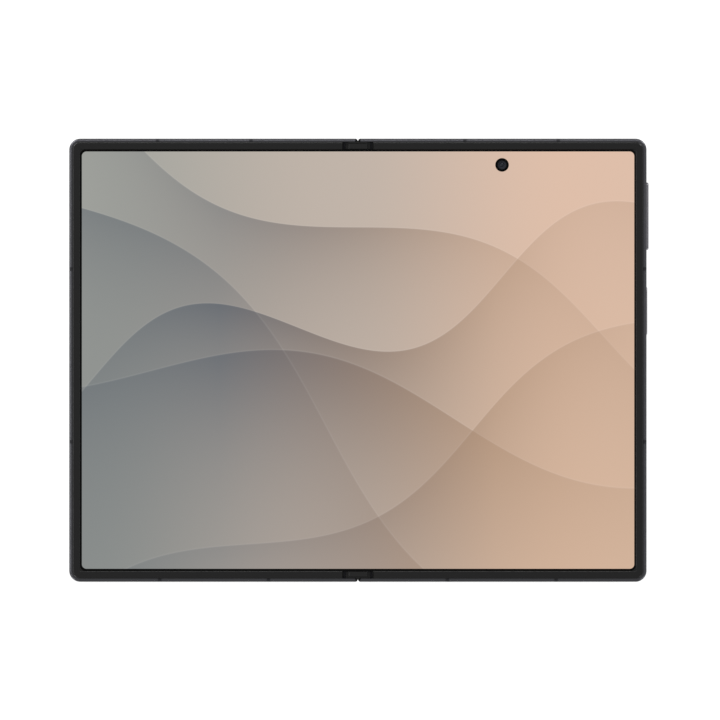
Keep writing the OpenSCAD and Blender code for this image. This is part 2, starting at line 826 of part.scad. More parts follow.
module loudspeaker() {
  color([0.1, 0.1, 0.11]) stand()
    translate([speaker_x, -phone_h / 2 + cavity_wall + wall_gap + speaker_w / 2, cavity_z + fit])
      slab(speaker_l, speaker_w, inner_h, board_corner_r);
}

module vibration_motor() {
  color([0.55, 0.55, 0.57]) stand()
    translate([motor_x, motor_y, cavity_z + fit]) cylinder(r = motor_r, h = inner_h);
}

// Key switches: two for the rocker, with the post it rocks on, and one for the power key, on one
// strip held by two clips.
module key_switches() {
  end = volume_l / 2 - switch_from_end;
  strip_x = switch_x - switch_t - strip_t;
  strip_y0 = power_y - switch_l - strip_past_switch;
  strip_y1 = volume_y + end + switch_l;
  color([0.5, 0.5, 0.52]) stand() {
    for (y = [volume_y - end, volume_y + end, power_y])
      translate([switch_x - switch_t, y - switch_l / 2, edge_z - switch_h / 2])
        cube([switch_t, switch_l, switch_h]);
    translate([switch_x - switch_t, volume_y - post_l / 2, edge_z - switch_h / 2])
      cube([pivot_x - pivot_r - fit - switch_x + switch_t, post_l, switch_h]);
    translate([strip_x, strip_y0, edge_z - strip_h / 2])
      cube([strip_t + eps, strip_y1 - strip_y0, strip_h]);
    for (y = [strip_y0, strip_y1 - clip_l]) translate([strip_x - clip_t, y, edge_z - strip_h / 2])
      cube([clip_t + eps, clip_l, strip_h]);
  }
}

// A key's outer bar, its stem through the wall and its flange behind the wall.
module key_body(l, rise, step) {
  stem = half_w - flange_x + flange_t - eps;
  rotate([0, -90, 0]) linear_extrude(stem) capsule2d(key_h, l);
  translate([rise, 0, 0]) rotate([0, -90, 0]) linear_extrude(rise + eps) capsule2d(key_h, l - 2 * step);
  translate([flange_x - half_w - flange_t, -l / 2 - flange_past_end, -flange_h / 2])
    cube([flange_t, l + 2 * flange_past_end, flange_h]);
}

// Volume rocker: a key with a round bead behind it, on which it rocks.
module volume_rocker() {
  color([0.33, 0.33, 0.35]) stand() {
    translate([half_w, volume_y, edge_z]) key_body(volume_l, volume_rise, volume_step);
    translate([pivot_x, volume_y, edge_z]) cylinder(r = pivot_r, h = flange_h, center = true);
  }
}

module power_key() {
  color([0.33, 0.33, 0.35]) stand()
    translate([half_w, power_y, edge_z]) key_body(power_l, power_rise, power_step);
}

// Screws that hold a circuit board to the deck.
module board_screws(spots) {
  for (p = spots) translate([p[0], p[1], board_z - head_t]) {
    cylinder(r = screw_head_r, h = head_t);
    cylinder(r = screw_r, h = head_t + board_t + deck_t);
  }
}

// Screws that hold the hinge arms to the rail.
module arm_screws() {
  arm_screw_spots() translate([0, 0, arm_t - arm_screw_l + fit]) {
    cylinder(r = screw_r, h = arm_screw_l);
    translate([0, 0, arm_screw_l - fit]) cylinder(r = arm_screw_head_r, h = arm_screw_head_t);
  }
}

module main_screws() {
  color([0.7, 0.7, 0.72]) stand() {
    board_screws(main_screw_spots);
    arm_screws();
  }
}

// A hinge arm: a knuckle on the shaft and a plate screwed to the half's rail.
module arm() {
  rotate([90, 0, 0]) difference() {
    union() {
      cylinder(r = knuckle_r, h = arm_w);
      translate([0, -arm_t, 0]) cube([arm_reach, arm_t, arm_w]);
    }
    translate([0, 0, -1]) cylinder(r = shaft_r + grip, h = arm_w + 2);
    for (s = [-1, 1]) translate([arm_hole_x - axis_x, 0, arm_w / 2 + s * arm_hole_pitch / 2])
      rotate([90, 0, 0]) cylinder(r = screw_r + run, h = 2, center = true);
  }
}

module hinge_arms() {
  both_ends() translate([axis_x, module_y - arm_v, axis_z]) arm();
}

// A hinge shaft: a neck through the gear and its lugs, and a thicker part from the arm on.
module hinge_shafts() {
  step_v = lug_b_v + lug_t + side_gap / 2;
  both_ends() translate([axis_x, module_y, axis_z]) rotate([90, 0, 0]) {
    translate([0, 0, side_gap]) cylinder(r = shaft_neck_r, h = step_v - side_gap + eps);
    translate([0, 0, step_v]) cylinder(r = shaft_r, h = module_l - side_gap - step_v);
  }
}

// Outline of a hinge gear: one straight-sided tooth at each step round its root circle.
module gear2d(phase) {
  circle(gear_root_r);
  for (i = [0:gear_teeth - 1]) rotate(phase + i * 360 / gear_teeth)
    polygon([[0, -tooth_base], [gear_root_r, -tooth_base], [gear_tip_r, -tooth_tip],
             [gear_tip_r, tooth_tip], [gear_root_r, tooth_base], [0, tooth_base]]);
}

module shaft_gears(phase) {
  both_ends() translate([axis_x, module_y - gear_v, axis_z]) rotate([90, 0, 0])
    linear_extrude(gear_t) difference() {
      gear2d(phase);
      circle(shaft_neck_r + grip);
    }
}

module idler_gears(phase) {
  both_ends() translate([gear_pitch_r, module_y, axis_z]) rotate([90, 0, 0]) {
    translate([0, 0, gear_v]) linear_extrude(gear_t) gear2d(phase);
    translate([0, 0, side_gap]) cylinder(r = idler_axle_r, h = lug_b_v + lug_t - 2 * side_gap);
  }
}

module main_hinge_arms() {
  color([0.6, 0.6, 0.62]) stand() hinge_arms();
}
module main_hinge_shafts() {
  color([0.75, 0.75, 0.77]) stand() hinge_shafts();
}
module main_shaft_gears() {
  color([0.7, 0.62, 0.4]) stand() shaft_gears(0);
}
module main_idler_gears() {
  color([0.7, 0.62, 0.4]) stand() idler_gears(180 / gear_teeth);
}
module cover_hinge_arms() {
  color([0.6, 0.6, 0.62]) stand() cover_side() hinge_arms();
}
module cover_hinge_shafts() {
  color([0.75, 0.75, 0.77]) stand() cover_side() hinge_shafts();
}
module cover_shaft_gears() {
  color([0.7, 0.62, 0.4]) stand() cover_side() shaft_gears(180 / gear_teeth);
}
module cover_idler_gears() {
  color([0.7, 0.62, 0.4]) stand() cover_side() idler_gears(0);
}

module cover_frame() {
  color([0.36, 0.36, 0.38]) stand() cover_side() difference() {
    half_frame();
    tray_slot();
    wall_holes(earpiece_x, earpiece_holes, 1);
    wall_holes(earpiece_x - cover_mic_shift, 1, -1);
    for (p = cover_screw_spots) translate([p[0], p[1], deck_z - 1])
      cylinder(r = screw_r + grip, h = deck_t + 2);
  }
}

// Slot for the SIM tray: a wide mouth for its face and a narrower way for its plate.
module tray_slot() {
  w = tray_w + 2 * tray_gap;
  h = tray_t + 2 * tray_gap;
  translate([half_w + 1, tray_y, tray_z]) rotate([0, -90, 0])
    linear_extrude(tray_face_t + tray_gap + 1)
      capsule2d(tray_face_h + 2 * key_gap, tray_face_w + 2 * key_gap);
  translate([half_w - cavity_wall - 1, tray_y - w / 2, tray_z - h / 2]) cube([cavity_wall + 1, w, h]);
}

module cover_antenna_breaks() {
  color([0.3, 0.3, 0.32]) stand() cover_side() antenna_breaks();
}

module cover_display_glass() {
  color([0.05, 0.05, 0.06]) stand() cover_side() rear_glass();
}

module cover_display_panel() {
  color([0.12, 0.12, 0.14]) stand() cover_side() difference() {
    translate([0, 0, cavity_z])
      linear_extrude(panel_t) plan(cavity_wall + panel_gap, cavity_x + panel_gap, panel_corner_r);
    translate([earpiece_x, inner_cam_y, 0]) cylinder(r = cover_cam_r + cam_hole_gap, h = far);
  }
}

// Cover camera: its barrel passes the panel, and its housing lies between the panel and the deck.
module cover_camera() {
  color([0.06, 0.06, 0.07]) stand() cover_side() translate([earpiece_x, inner_cam_y, 0]) {
    translate([0, 0, stack_z]) slab(cover_cam_w, cover_cam_w, deck_z - fit - stack_z, cam_corner_r);
    translate([0, 0, cavity_z]) cylinder(r = cover_cam_r, h = stack_z - cavity_z + eps);
  }
}

module cover_bezel() {
  color([0.15, 0.15, 0.16]) stand() cover_side() half_bezel();
}

module display_cover_side() {
  color([0.6, 0.62, 0.58]) stand() cover_side() half_display();
}

module cover_battery() {
  y = battery_y + battery_l / 2 + cover_battery_shift;
  color([0.14, 0.14, 0.15]) stand() cover_side() translate([battery_x + battery_w / 2, y, stack_z])
    slab(battery_w, battery_l, deck_z - fit - stack_z, battery_corner_r);
}

module sub_board() {
  color([0.1, 0.3, 0.2]) stand() cover_side() difference() {
    translate([(sub_x0 + sub_x1) / 2, (sub_y0 + sub_y1) / 2, board_z])
      slab(sub_x1 - sub_x0, sub_l, board_t, board_corner_r);
    for (p = cover_screw_spots) translate([p[0], p[1], 0]) cylinder(r = screw_r + run, h = far);
  }
}

// SIM reader: a thin metal cage, open towards the outer edge, that the tray slides into.
module sim_reader() {
  w = tray_w + 2 * tray_gap;
  h = tray_t + 2 * tray_gap;
  x0 = tray_plate_x - tray_stop_gap - reader_wall;
  x1 = half_w - cavity_wall - side_gap;
  z0 = tray_z - h / 2 - reader_wall;
  color([0.65, 0.65, 0.66]) stand() cover_side() difference() {
    translate([x0, tray_y - w / 2 - reader_wall, z0])
      cube([x1 - x0, w + 2 * reader_wall, deck_z - fit - z0]);
    translate([x0 + reader_wall, tray_y - w / 2, tray_z - h / 2]) cube([far, w, h]);
  }
}

// SIM tray: a round-ended face with its pin hole, and a plate with the card's recess.
module sim_tray() {
  color([0.4, 0.4, 0.42]) stand() cover_side() {
    difference() {
      translate([half_w, tray_y, tray_z]) rotate([0, -90, 0])
        linear_extrude(tray_face_t) capsule2d(tray_face_h, tray_face_w);
      translate([half_w + 1, tray_y + tray_face_w / 2 - tray_face_side, tray_z]) rotate([0, -90, 0])
        cylinder(r = tray_pin_r, h = far);
    }
    difference() {
      translate([tray_plate_x, tray_y - tray_w / 2, tray_z - tray_t / 2])
        cube([tray_l - tray_face_t + eps, tray_w, tray_t]);
      translate([tray_plate_x + card_in, tray_y - card[1] / 2, tray_z + tray_t / 2 - card_t])
        cube([card[0], card[1], 1]);
    }
  }
}

// Earpiece: a slim box behind the upper wall, cut back round the cover camera.
module earpiece() {
  y = phone_h / 2 - cavity_wall - wall_gap - earpiece_w / 2;
  cut = cover_cam_w + 2 * wall_gap;
  color([0.1, 0.1, 0.11]) stand() cover_side() difference() {
    translate([earpiece_x, y, stack_z])
      slab(earpiece_l, earpiece_w, deck_z - fit - stack_z, cam_corner_r);
    translate([earpiece_x, inner_cam_y, 0]) slab(cut, cut, far, cam_corner_r);
  }
}

module cover_screws() {
  color([0.7, 0.7, 0.72]) stand() cover_side() {
    board_screws(cover_screw_spots);
    arm_screws();
  }
}

// Section of the spine: two circles about the fold axes and what lies between them.
module spine_section(r) {
  for (s = [-1, 1]) translate([s * axis_x, axis_z]) circle(r);
  translate([-axis_x, axis_z - r]) square([2 * axis_x, 2 * r]);
}

// Runs a section drawn in X and Z along the hinge, centred on the phone.
module along_hinge(l) {
  translate([0, l / 2, 0]) rotate([90, 0, 0]) linear_extrude(l) children();
}

module spine_cover() {
  color([0.34, 0.34, 0.36]) stand() difference() {
    along_hinge(spine_l) intersection() {
      difference() {
        spine_section(axis_x);
        spine_section(axis_x - spine_wall);
      }
      translate([-far / 2, 0]) square([far, spine_side_z]);
    }
    for (s = [-1, 1]) both_ends()
      translate([s * 2 * axis_x - 1, module_y - arm_v - arm_w - side_gap, bay_z - side_gap])
        cube([2, arm_w + 2 * side_gap, far]);
  }
}

// One lug of a bracket, with bores of radius r for both shafts.
module lug(r) {
  linear_extrude(lug_t) difference() {
    union() {
      for (s = [-1, 1]) translate([s * axis_x, 0]) circle(lug_r);
      translate([-axis_x, -lug_h]) square([2 * axis_x, lug_h + knuckle_r]);
    }
    for (s = [-1, 1]) translate([s * axis_x, 0]) circle(r);
  }
}

// Bracket of one hinge module: three lugs on a base plate screwed into the spine.
module hinge_bracket() {
  translate([0, module_y, 0]) {
    for (v = [0, lug_b_v, lug_c_v]) translate([0, -v, axis_z]) rotate([90, 0, 0]) difference() {
      lug((v < arm_v ? shaft_neck_r : shaft_r) + run);
      if (v < arm_v) for (s = [-1, 1]) translate([s * gear_pitch_r, 0, -1])
        cylinder(r = idler_axle_r + run, h = lug_t + 2);
    }
    translate([-axis_x, -module_l, base_z]) cube([2 * axis_x, module_l, base_t]);
  }
}

module upper_hinge_bracket() {
  color([0.5, 0.5, 0.52]) stand() hinge_bracket();
}
module lower_hinge_bracket() {
  color([0.5, 0.5, 0.52]) stand() mirror([0, 1, 0]) hinge_bracket();
}

// Points of a spring: rings of six points along a helix round a shaft.
function spring_point(i, j) =
  let (a = i * 360 / rings_per_turn, b = j * 360 / ring_sides, out = coil_r + wire_r * cos(b))
  [out * cos(a) + wire_r * sin(b) * sin(spring_climb) * sin(a),
   out * sin(a) - wire_r * sin(b) * sin(spring_climb) * cos(a),
   wire_r + i * spring_pitch / rings_per_turn + wire_r * sin(b) * cos(spring_climb)];

module spring() {
  n = ring_sides;
  points = [for (i = [0:spring_rings], j = [0:n - 1]) spring_point(i, j)];
  sides = [for (i = [0:spring_rings - 1], j = [0:n - 1], k = [0, 1])
    k == 0 ? [i * n + j, (i + 1) * n + j, i * n + (j + 1) % n]
           : [i * n + (j + 1) % n, (i + 1) * n + j, (i + 1) * n + (j + 1) % n]];
  first = [for (j = [1:n - 2]) [0, j, j + 1]];
  last = [for (j = [1:n - 2]) [spring_rings * n, spring_rings * n + j + 1, spring_rings * n + j]];
  polyhedron(points, concat(sides, first, last));
}

module hinge_springs() {
  color([0.75, 0.75, 0.77]) stand() both_ends() for (s = [-1, 1])
    translate([s * axis_x, module_y - spring_v, axis_z]) rotate([90, 0, 0]) spring();
}

// Friction plates: pressed by the springs against the ends of the arms' knuckles.
module friction_plates() {
  color([0.66, 0.62, 0.5]) stand() both_ends() translate([0, module_y - plate_v, axis_z]) rotate([90, 0, 0])
    linear_extrude(plate_t) difference() {
      union() {
        for (s = [-1, 1]) translate([s * axis_x, 0]) circle(knuckle_r);
        translate([-axis_x, -knuckle_r]) square([2 * axis_x, 2 * knuckle_r]);
      }
      for (s = [-1, 1]) translate([s * axis_x, 0]) circle(shaft_r + run);
    }
}

// End caps: low shoulders in the spine, a raised middle level with the bezel, a lower lip past a
// groove, and a nose between the frames.
module hinge_end_caps() {
  color([0.16, 0.16, 0.17]) stand() both_ends() translate([0, spine_l / 2, 0]) rotate([90, 0, 0]) {
    difference() {
      linear_extrude(cap_l) {
        intersection() {
          spine_section(axis_x - spine_wall - fit);
          translate([-far / 2, 0]) square([far, cap_shoulder_z]);
        }
        cap_middle(bezel_round_r);
      }
      translate([-cap_w / 2 - 1, cap_z - cap_lip_drop, -1]) cube([cap_w + 2, 1, cap_lip_l + 1]);
      translate([-cap_w / 2 - 1, cap_z - cap_groove_d, cap_lip_l]) cube([cap_w + 2, 1, cap_groove_w]);
    }
    translate([0, 0, -nose_l]) linear_extrude(nose_l + eps) cap_nose();
  }
}

// Section of an end cap's raised middle, with rounded upper corners.
module cap_middle(r) {
  translate([-cap_w / 2, axis_z]) square([cap_w, cap_z - axis_z - r]);
  translate([-cap_w / 2 + r, axis_z]) square([cap_w - 2 * r, cap_z - axis_z]);
  for (s = [-1, 1]) translate([s * (cap_w / 2 - r), cap_z - r]) circle(r);
}

// Section of an end cap's nose: a wedge whose flanks follow the frames' rounded corners.
module cap_nose() {
  difference() {
    translate([-nose_w / 2, nose_z]) square([nose_w, nose_top - nose_z]);
    for (s = [-1, 1]) translate([s * axis_x, axis_z]) circle(axis_x);
  }
}

module display_fold() {
  color([0.68, 0.65, 0.6]) stand() translate([-fold_x, -fold_display_h / 2, deck_top])
    cube([2 * fold_x, fold_display_h, display_t]);
}

// Flex cable between the halves: over the spine's sides with slack in the spine.
module hinge_flex_cable() {
  end_x = cavity_x + cable_past_cavity;
  edge_x = 2 * axis_x - cable_bend_in;
  low = base_z + cable_t;
  path = [[-end_x, cable_z], [-edge_x, cable_z], [-axis_x, low], [axis_x, low],
          [edge_x, cable_z], [end_x, cable_z]];
  over = [for (i = [len(path) - 1:-1:0]) path[i] + [0, cable_t]];
  color([0.75, 0.5, 0.2]) stand() along_hinge(cable_w) polygon(concat(path, over));
}

// Wing plate: carries the display beside the fold and dips on its pivot bead as the phone shuts.
module wing_plate() {
  notch_x = axis_x + knuckle_r + 3 * side_gap;
  arm_end = axis_x + arm_reach + 2 * side_gap;
  l = fold_display_h - 2 * side_gap;
  difference() {
    union() {
      translate([wing_end_x, -l / 2, wing_z - wing_t / 2]) cube([wing_pivot_x - wing_end_x, l, wing_t]);
      translate([wing_pivot_x, l / 2, wing_z]) rotate([90, 0, 0]) cylinder(r = wing_t / 2 + fit, h = l);
    }
    both_ends() {
      translate([0, module_y - module_l - 2 * side_gap, 0]) cube([notch_x, far, far]);
      translate([0, module_y - arm_v - arm_w - 2 * side_gap, 0])
        cube([arm_end, arm_w + 4 * side_gap, far]);
    }
  }
}

module main_wing_plate() {
  color([0.55, 0.55, 0.57]) stand() wing_plate();
}
module cover_wing_plate() {
  color([0.55, 0.55, 0.57]) stand() cover_side() wing_plate();
}

main_frame();
main_antenna_breaks();
main_rear_cover();
camera_island();
camera_lens_rings();
camera_lens_glasses();
camera_modules();
flash_lens();
main_bezel();
inner_camera();
display_main_side();
main_battery();
logic_board();
board_shields();
charging_coil();
usb_c_port();
loudspeaker();
vibration_motor();
key_switches();
main_screws();
main_hinge_arms();
main_hinge_shafts();
main_shaft_gears();
cover_frame();
cover_antenna_breaks();
cover_display_glass();
cover_display_panel();
cover_camera();
cover_bezel();
display_cover_side();
cover_battery();
sub_board();
sim_reader();
earpiece();
cover_screws();
cover_hinge_arms();
cover_hinge_shafts();
cover_shaft_gears();
spine_cover();
upper_hinge_bracket();
lower_hinge_bracket();
hinge_springs();
friction_plates();
hinge_end_caps();
display_fold();
hinge_flex_cable();
main_idler_gears();
cover_idler_gears();
main_wing_plate();
cover_wing_plate();
volume_rocker();
power_key();
sim_tray();
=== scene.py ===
"""Folding phone: screens, lenses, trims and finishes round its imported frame.

Lengths are in metres. X runs across the hinge, Y along it and Z out of the inner screen.
"""

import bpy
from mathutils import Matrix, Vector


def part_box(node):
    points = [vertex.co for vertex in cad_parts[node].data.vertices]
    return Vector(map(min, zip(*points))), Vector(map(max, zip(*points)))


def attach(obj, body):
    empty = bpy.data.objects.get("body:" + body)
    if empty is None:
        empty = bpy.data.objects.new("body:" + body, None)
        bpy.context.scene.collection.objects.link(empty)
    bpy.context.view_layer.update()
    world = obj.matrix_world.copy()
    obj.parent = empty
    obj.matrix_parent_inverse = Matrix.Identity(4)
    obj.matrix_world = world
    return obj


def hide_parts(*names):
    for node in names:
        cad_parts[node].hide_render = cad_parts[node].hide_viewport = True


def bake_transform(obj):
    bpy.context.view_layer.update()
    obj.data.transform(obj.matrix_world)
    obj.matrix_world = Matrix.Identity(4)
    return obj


bl_info = {
    "name": "Folding Phone",
    "version": (1, 0, 0),
    "blender": (4, 5, 0),
    "location": "View3D > Sidebar > Phone",
    "description": "Builds the screens, lenses, trims and finishes of a folding phone",
    "category": "Add Mesh",
}

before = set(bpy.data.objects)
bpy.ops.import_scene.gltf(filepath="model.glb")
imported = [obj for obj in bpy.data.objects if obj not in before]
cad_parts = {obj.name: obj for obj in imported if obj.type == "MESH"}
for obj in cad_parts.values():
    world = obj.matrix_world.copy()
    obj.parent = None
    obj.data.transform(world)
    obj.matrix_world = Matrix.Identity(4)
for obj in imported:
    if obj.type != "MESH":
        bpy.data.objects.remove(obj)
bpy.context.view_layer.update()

import math

import bmesh
import bpy
import numpy as np
from bpy.props import FloatProperty, FloatVectorProperty, IntProperty, PointerProperty
from mathutils import Vector
from mathutils.geometry import tessellate_polygon

MM = 0.001
MICRON = 1e-6

# The inner screen runs over three nodes, and its face is level on all of them.
SCREEN_LOW, SCREEN_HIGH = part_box("display_main_side")
FOLD_LOW, FOLD_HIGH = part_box("display_fold")
SCREEN_Z = SCREEN_HIGH.z
BACK_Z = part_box("cover_display_glass")[0].z
HALF_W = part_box("main_frame")[1].x
HALF_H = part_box("main_frame")[1].y
EDGE_Z = (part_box("power_key")[0].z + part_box("power_key")[1].z) / 2


def axis(node):
    """Where the upright axis through the centre of a node's box meets height 0."""
    low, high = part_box(node)
    return (low.x + high.x) / 2, (low.y + high.y) / 2, 0.0


def tone(red, green, blue):
    """A linear colour from the three values, 0 to 255, that a picture viewer shows."""
    def linear(value):
        share = value / 255
        return share / 12.92 if share <= 0.04045 else ((share + 0.055) / 1.055) ** 2.4
    return linear(red), linear(green), linear(blue)


def length(name, about, default):
    """A length that a user can set, in metres."""
    return FloatProperty(name=name, description=about, default=default, min=0.0, precision=5,
                         subtype="DISTANCE", unit="LENGTH")


def colour(name, about, default):
    """A colour that a user can set."""
    return FloatVectorProperty(name=name, description=about, default=default, size=3, min=0.0,
                               max=1.0, subtype="COLOR")


def share(name, about, default, top=1.0):
    """A plain number from 0 to top that a user can set."""
    return FloatProperty(name=name, description=about, default=default, min=0.0, max=top,
                         subtype="FACTOR")


def watts(name, about, default):
    """A lamp's power in watts."""
    return FloatProperty(name=name, description=about, default=default, min=0.0, max=100.0)


# ---------------------------------------------------------------------------- sizes and colours

class PhoneScreen(bpy.types.PropertyGroup):
    """The inner screen and its picture."""
    lit_w: length("Lit Width", "Half the width of the lit area", 77.2 * MM)
    lit_h: length("Lit Height", "Half the height of the lit area", 58.31 * MM)
    lit_x: length("Lit X", "Middle of the lit area, from the hinge line", 0.05 * MM)
    lit_y: length("Lit Y", "Middle of the lit area, from the phone's middle", 0.02 * MM)
    lit_r: length("Lit Corner", "Radius of the lit area's corners", 1.3 * MM)
    bend: length("Bend", "Distance from the hinge line over which the screen bends", 5.4 * MM)
    columns: IntProperty(name="Columns", description="Columns of faces across each bend",
                         default=48, min=8, max=200)
    cool: colour("Cool", "Left side of the picture", tone(164, 165, 159))
    cool_low: colour("Cool Low", "Lower left of the picture", tone(145, 148, 145))
    sand: colour("Sand", "Middle of the picture", tone(192, 179, 168))
    peach: colour("Peach", "Right side of the picture", tone(222, 190, 169))
    tan: colour("Tan", "Lower right of the picture", tone(219, 187, 163))
    slate: colour("Slate", "Shade under the folds of the picture on its left", tone(70, 83, 97))
    umber: colour("Umber", "Shade under the folds of the picture on its right", tone(172, 141, 116))
    mask: colour("Mask", "Dark border round the lit area", tone(3, 3, 3))


class PhoneBody(bpy.types.PropertyGroup):
    """Finishes of the frame, the bezels and the backs."""
    metal: colour("Metal", "Frame's blasted metal", tone(58, 58, 61))
    metal_rough: share("Metal Roughness", "Roughness of the frame", 0.36)
    # lighter than the frame's metal, to give the keys the brightness of their lit crowns: painted highlight
    key_metal: colour("Key Metal", "Side keys' metal", tone(84, 83, 87))
    bezel: colour("Bezel", "Rim round the inner screen", tone(10, 10, 10))
    breaks: colour("Breaks", "Antenna breaks", tone(33, 33, 36))
    rear: colour("Rear", "Rear glass", tone(58, 59, 64))
    cover: colour("Cover", "Cover screen's glass when dark", tone(9, 9, 11))
    glass_edge: length("Glass Edge", "Roundness of the glasses' outer edges", 0.35 * MM)


class PhoneLenses(bpy.types.PropertyGroup):
    """Rear cameras, the flash and the two front cameras."""
    inner_r: length("Inner Window", "Radius of the inner camera's window in the screen", 1.9 * MM)
    barrel_r: length("Barrel", "Radius of the opening in front of each rear lens", 5.0 * MM)
    dome_r: length("Front Lens", "Radius of the largest rear lens's front element", 3.1 * MM)
    steps: IntProperty(name="Steps", description="Ridges inside each barrel", default=7, min=2,
                       max=20)
    around: IntProperty(name="Around", description="Faces round each turned piece", default=96,
                        min=24, max=256)
    flash_rings: IntProperty(name="Flash Rings", description="Rings cut into the flash's lens",
                             default=7, min=3, max=16)
    coat_nm: FloatProperty(name="Coating", description="Thickness of the lens coating in nanometres",
                           default=330.0, min=0.0, max=900.0)


class PhoneStage(bpy.types.PropertyGroup):
    """Camera, lamps and floor."""
    focal: FloatProperty(name="Focal Length", description="Camera's focal length in millimetres",
                         default=500.0, min=20.0, max=1000.0)
    view_w: length("View Width", "Width that the camera sees at the screen", 201.24 * MM)
    aim_x: length("Aim X", "Camera's place across the hinge", 0.59 * MM)
    aim_y: length("Aim Y", "Camera's place along the hinge", 0.06 * MM)
    floor_w: length("Floor", "Width of the floor", 6.0)
    world: share("World", "Strength of the soft light from all round", 0.05, 2.0)
    top: watts("Top Lamp", "Power of the lamp past the top edge", 5.2)
    left: watts("Left Lamp", "Power of the lamp past the left edge", 4.6)
    right: watts("Right Lamp", "Power of the lamp past the right edge", 1.5)
    top_left: watts("Top Left Lamp", "Power of the lamp past the top left corner", 14.0)
    top_right: watts("Top Right Lamp", "Power of the lamp past the top right corner", 9.0)
    low_left: watts("Low Left Lamp", "Power of the lamp past the lower left corner", 5.5)
    low_right: watts("Low Right Lamp", "Power of the lamp past the lower right corner", 3.5)
    lamp_l: length("Lamp Length", "Length of each lamp", 0.6)
    lamp_w: length("Lamp Height", "Height of each lamp", 0.3)
    lamp_far: length("Lamp Distance", "Distance of the lamps from the phone", 1.12)
    lamp_up: FloatProperty(name="Lamp Angle", description="How high the lamps hang, in degrees",
                           default=44.0, min=0.0, max=90.0)
    corner_up: FloatProperty(name="Corner Lamp Angle", description="How high the corner lamps hang, "
                             "in degrees", default=11.0, min=0.0, max=90.0)


GROUPS = {"phone_screen": PhoneScreen, "phone_body": PhoneBody, "phone_lenses": PhoneLenses,
          "phone_stage": PhoneStage}


# ---------------------------------------------------------------------------------- mesh making

SMOOTH = math.radians(35)  # edges that turn by less than this are shaded smooth
SQUARE = 0.99999           # least part of a face's normal along one axis for it to count as square
MERGE = 0.2 * MICRON       # points nearer than this are one


def as_piece(name, points, faces, bends=False):
    """A mesh object from points and faces, closed, with its faces turned outwards and shaded
    smooth. Level and upright faces stay flat, unless the piece bends."""
    mesh = bpy.data.meshes.new(name)
    mesh.from_pydata(np.asarray(points, float).tolist(), [], [list(f) for f in faces])
    work = bmesh.new()
    work.from_mesh(mesh)
    bmesh.ops.remove_doubles(work, verts=work.verts, dist=MERGE)
    bmesh.ops.dissolve_degenerate(work, edges=work.edges, dist=MERGE)
    bmesh.ops.recalc_face_normals(work, faces=work.faces)
    work.to_mesh(mesh)
    work.free()
    mesh.shade_smooth()
    mesh.set_sharp_from_angle(angle=SMOOTH)
    normals = np.zeros(len(mesh.polygons) * 3, np.float32)
    mesh.polygons.foreach_get("normal", normals)
    square = np.abs(normals.reshape(-1, 3)).max(axis=1) > SQUARE
    mesh.polygons.foreach_set("use_smooth", ~square | bends)
    piece = bpy.data.objects.new(name, mesh)
    bpy.context.scene.collection.objects.link(piece)
    return piece


def lattice(rows, columns, wrap):
    """Quads between neighbouring rows of a grid, whose last column meets its first with wrap."""
    index = np.arange(rows * columns).reshape(rows, columns)
    left, right = (index, np.roll(index, -1, axis=1)) if wrap else (index[:, :-1], index[:, 1:])
    quads = np.stack([left[:-1], right[:-1], right[1:], left[1:]], axis=-1)
    return quads.reshape(-1, 4)


def rounded(low, high, radii, inset=0.0, steps=14):
    """Rounded rectangle, anticlockwise from its right side. Each corner is a quarter circle of its
    own radius about a centre that inset leaves where it is: (corner - sign * r) + (r - inset) *
    (cos a, sin a)."""
    (x0, y0), (x1, y1) = low, high
    corners = ((x1, y1, 1, 1, 0), (x0, y1, -1, 1, 90), (x0, y0, -1, -1, 180), (x1, y0, 1, -1, 270))
    parts = []
    for (x, y, sx, sy, start), r in zip(corners, radii):
        angle = np.radians(start + np.linspace(0, 90, steps))
        keep = max(r - inset, 0.0)
        centre = np.array([x - sx * max(r, inset), y - sy * max(r, inset)])
        parts.append(centre + keep * np.stack([np.cos(angle), np.sin(angle)], axis=-1))
    return np.concatenate(parts)


def ring(centre, r, steps=64):
    """Circle of radius r about a centre, anticlockwise."""
    angle = np.linspace(0, 2 * np.pi, steps, endpoint=False)
    return np.asarray(centre) + r * np.stack([np.cos(angle), np.sin(angle)], axis=-1)


def quarter(r, z0, z1, steps=7):
    """Profile of a wall from z0 up to z1 with a quarter circle of radius r at its top, as rows of
    (inset, z): inset = r - r cos a and z = z1 - r + r sin a."""
    turn = 1.0 if z1 > z0 else -1.0
    angle = np.linspace(0, np.pi / 2, steps)
    bow = np.stack([r - r * np.cos(angle), z1 - turn * (r - r * np.sin(angle))], axis=-1)
    return np.concatenate([[[0.0, z0]], bow])


def plate(name, outline, profile, holes=(), swap=(0, 1, 2)):
    """A plate: its edge is outline(inset) carried up the profile's rows of (inset, height), each
    hole's edge is a circle that widens by the same insets, and two flat faces close it. swap
    says which of (along, across, height) gives X, Y and Z."""
    points, faces, ends = [], [], [[], []]
    count = 0
    loops = [[outline(inset) for inset, _ in profile]]
    loops += [[ring(centre, r + inset) for inset, _ in profile] for centre, r in holes]
    for loop in loops:
        rows = [np.column_stack([flat, np.full(len(flat), z)]) for flat, (_, z) in zip(loop, profile)]
        size = len(loop[0])
        faces += (lattice(len(rows), size, True) + count).tolist()
        ends[0].append(np.arange(size) + count)
        ends[1].append(np.arange(size) + count + size * (len(rows) - 1))
        points.append(np.concatenate(rows))
        count += size * len(rows)
    points = np.concatenate(points)
    for end in ends:
        index = np.concatenate(end)
        triangles = tessellate_polygon([[Vector(points[i]) for i in loop] for loop in end])
        faces += index[np.array(triangles)].tolist()
    return as_piece(name, points[:, swap], faces)


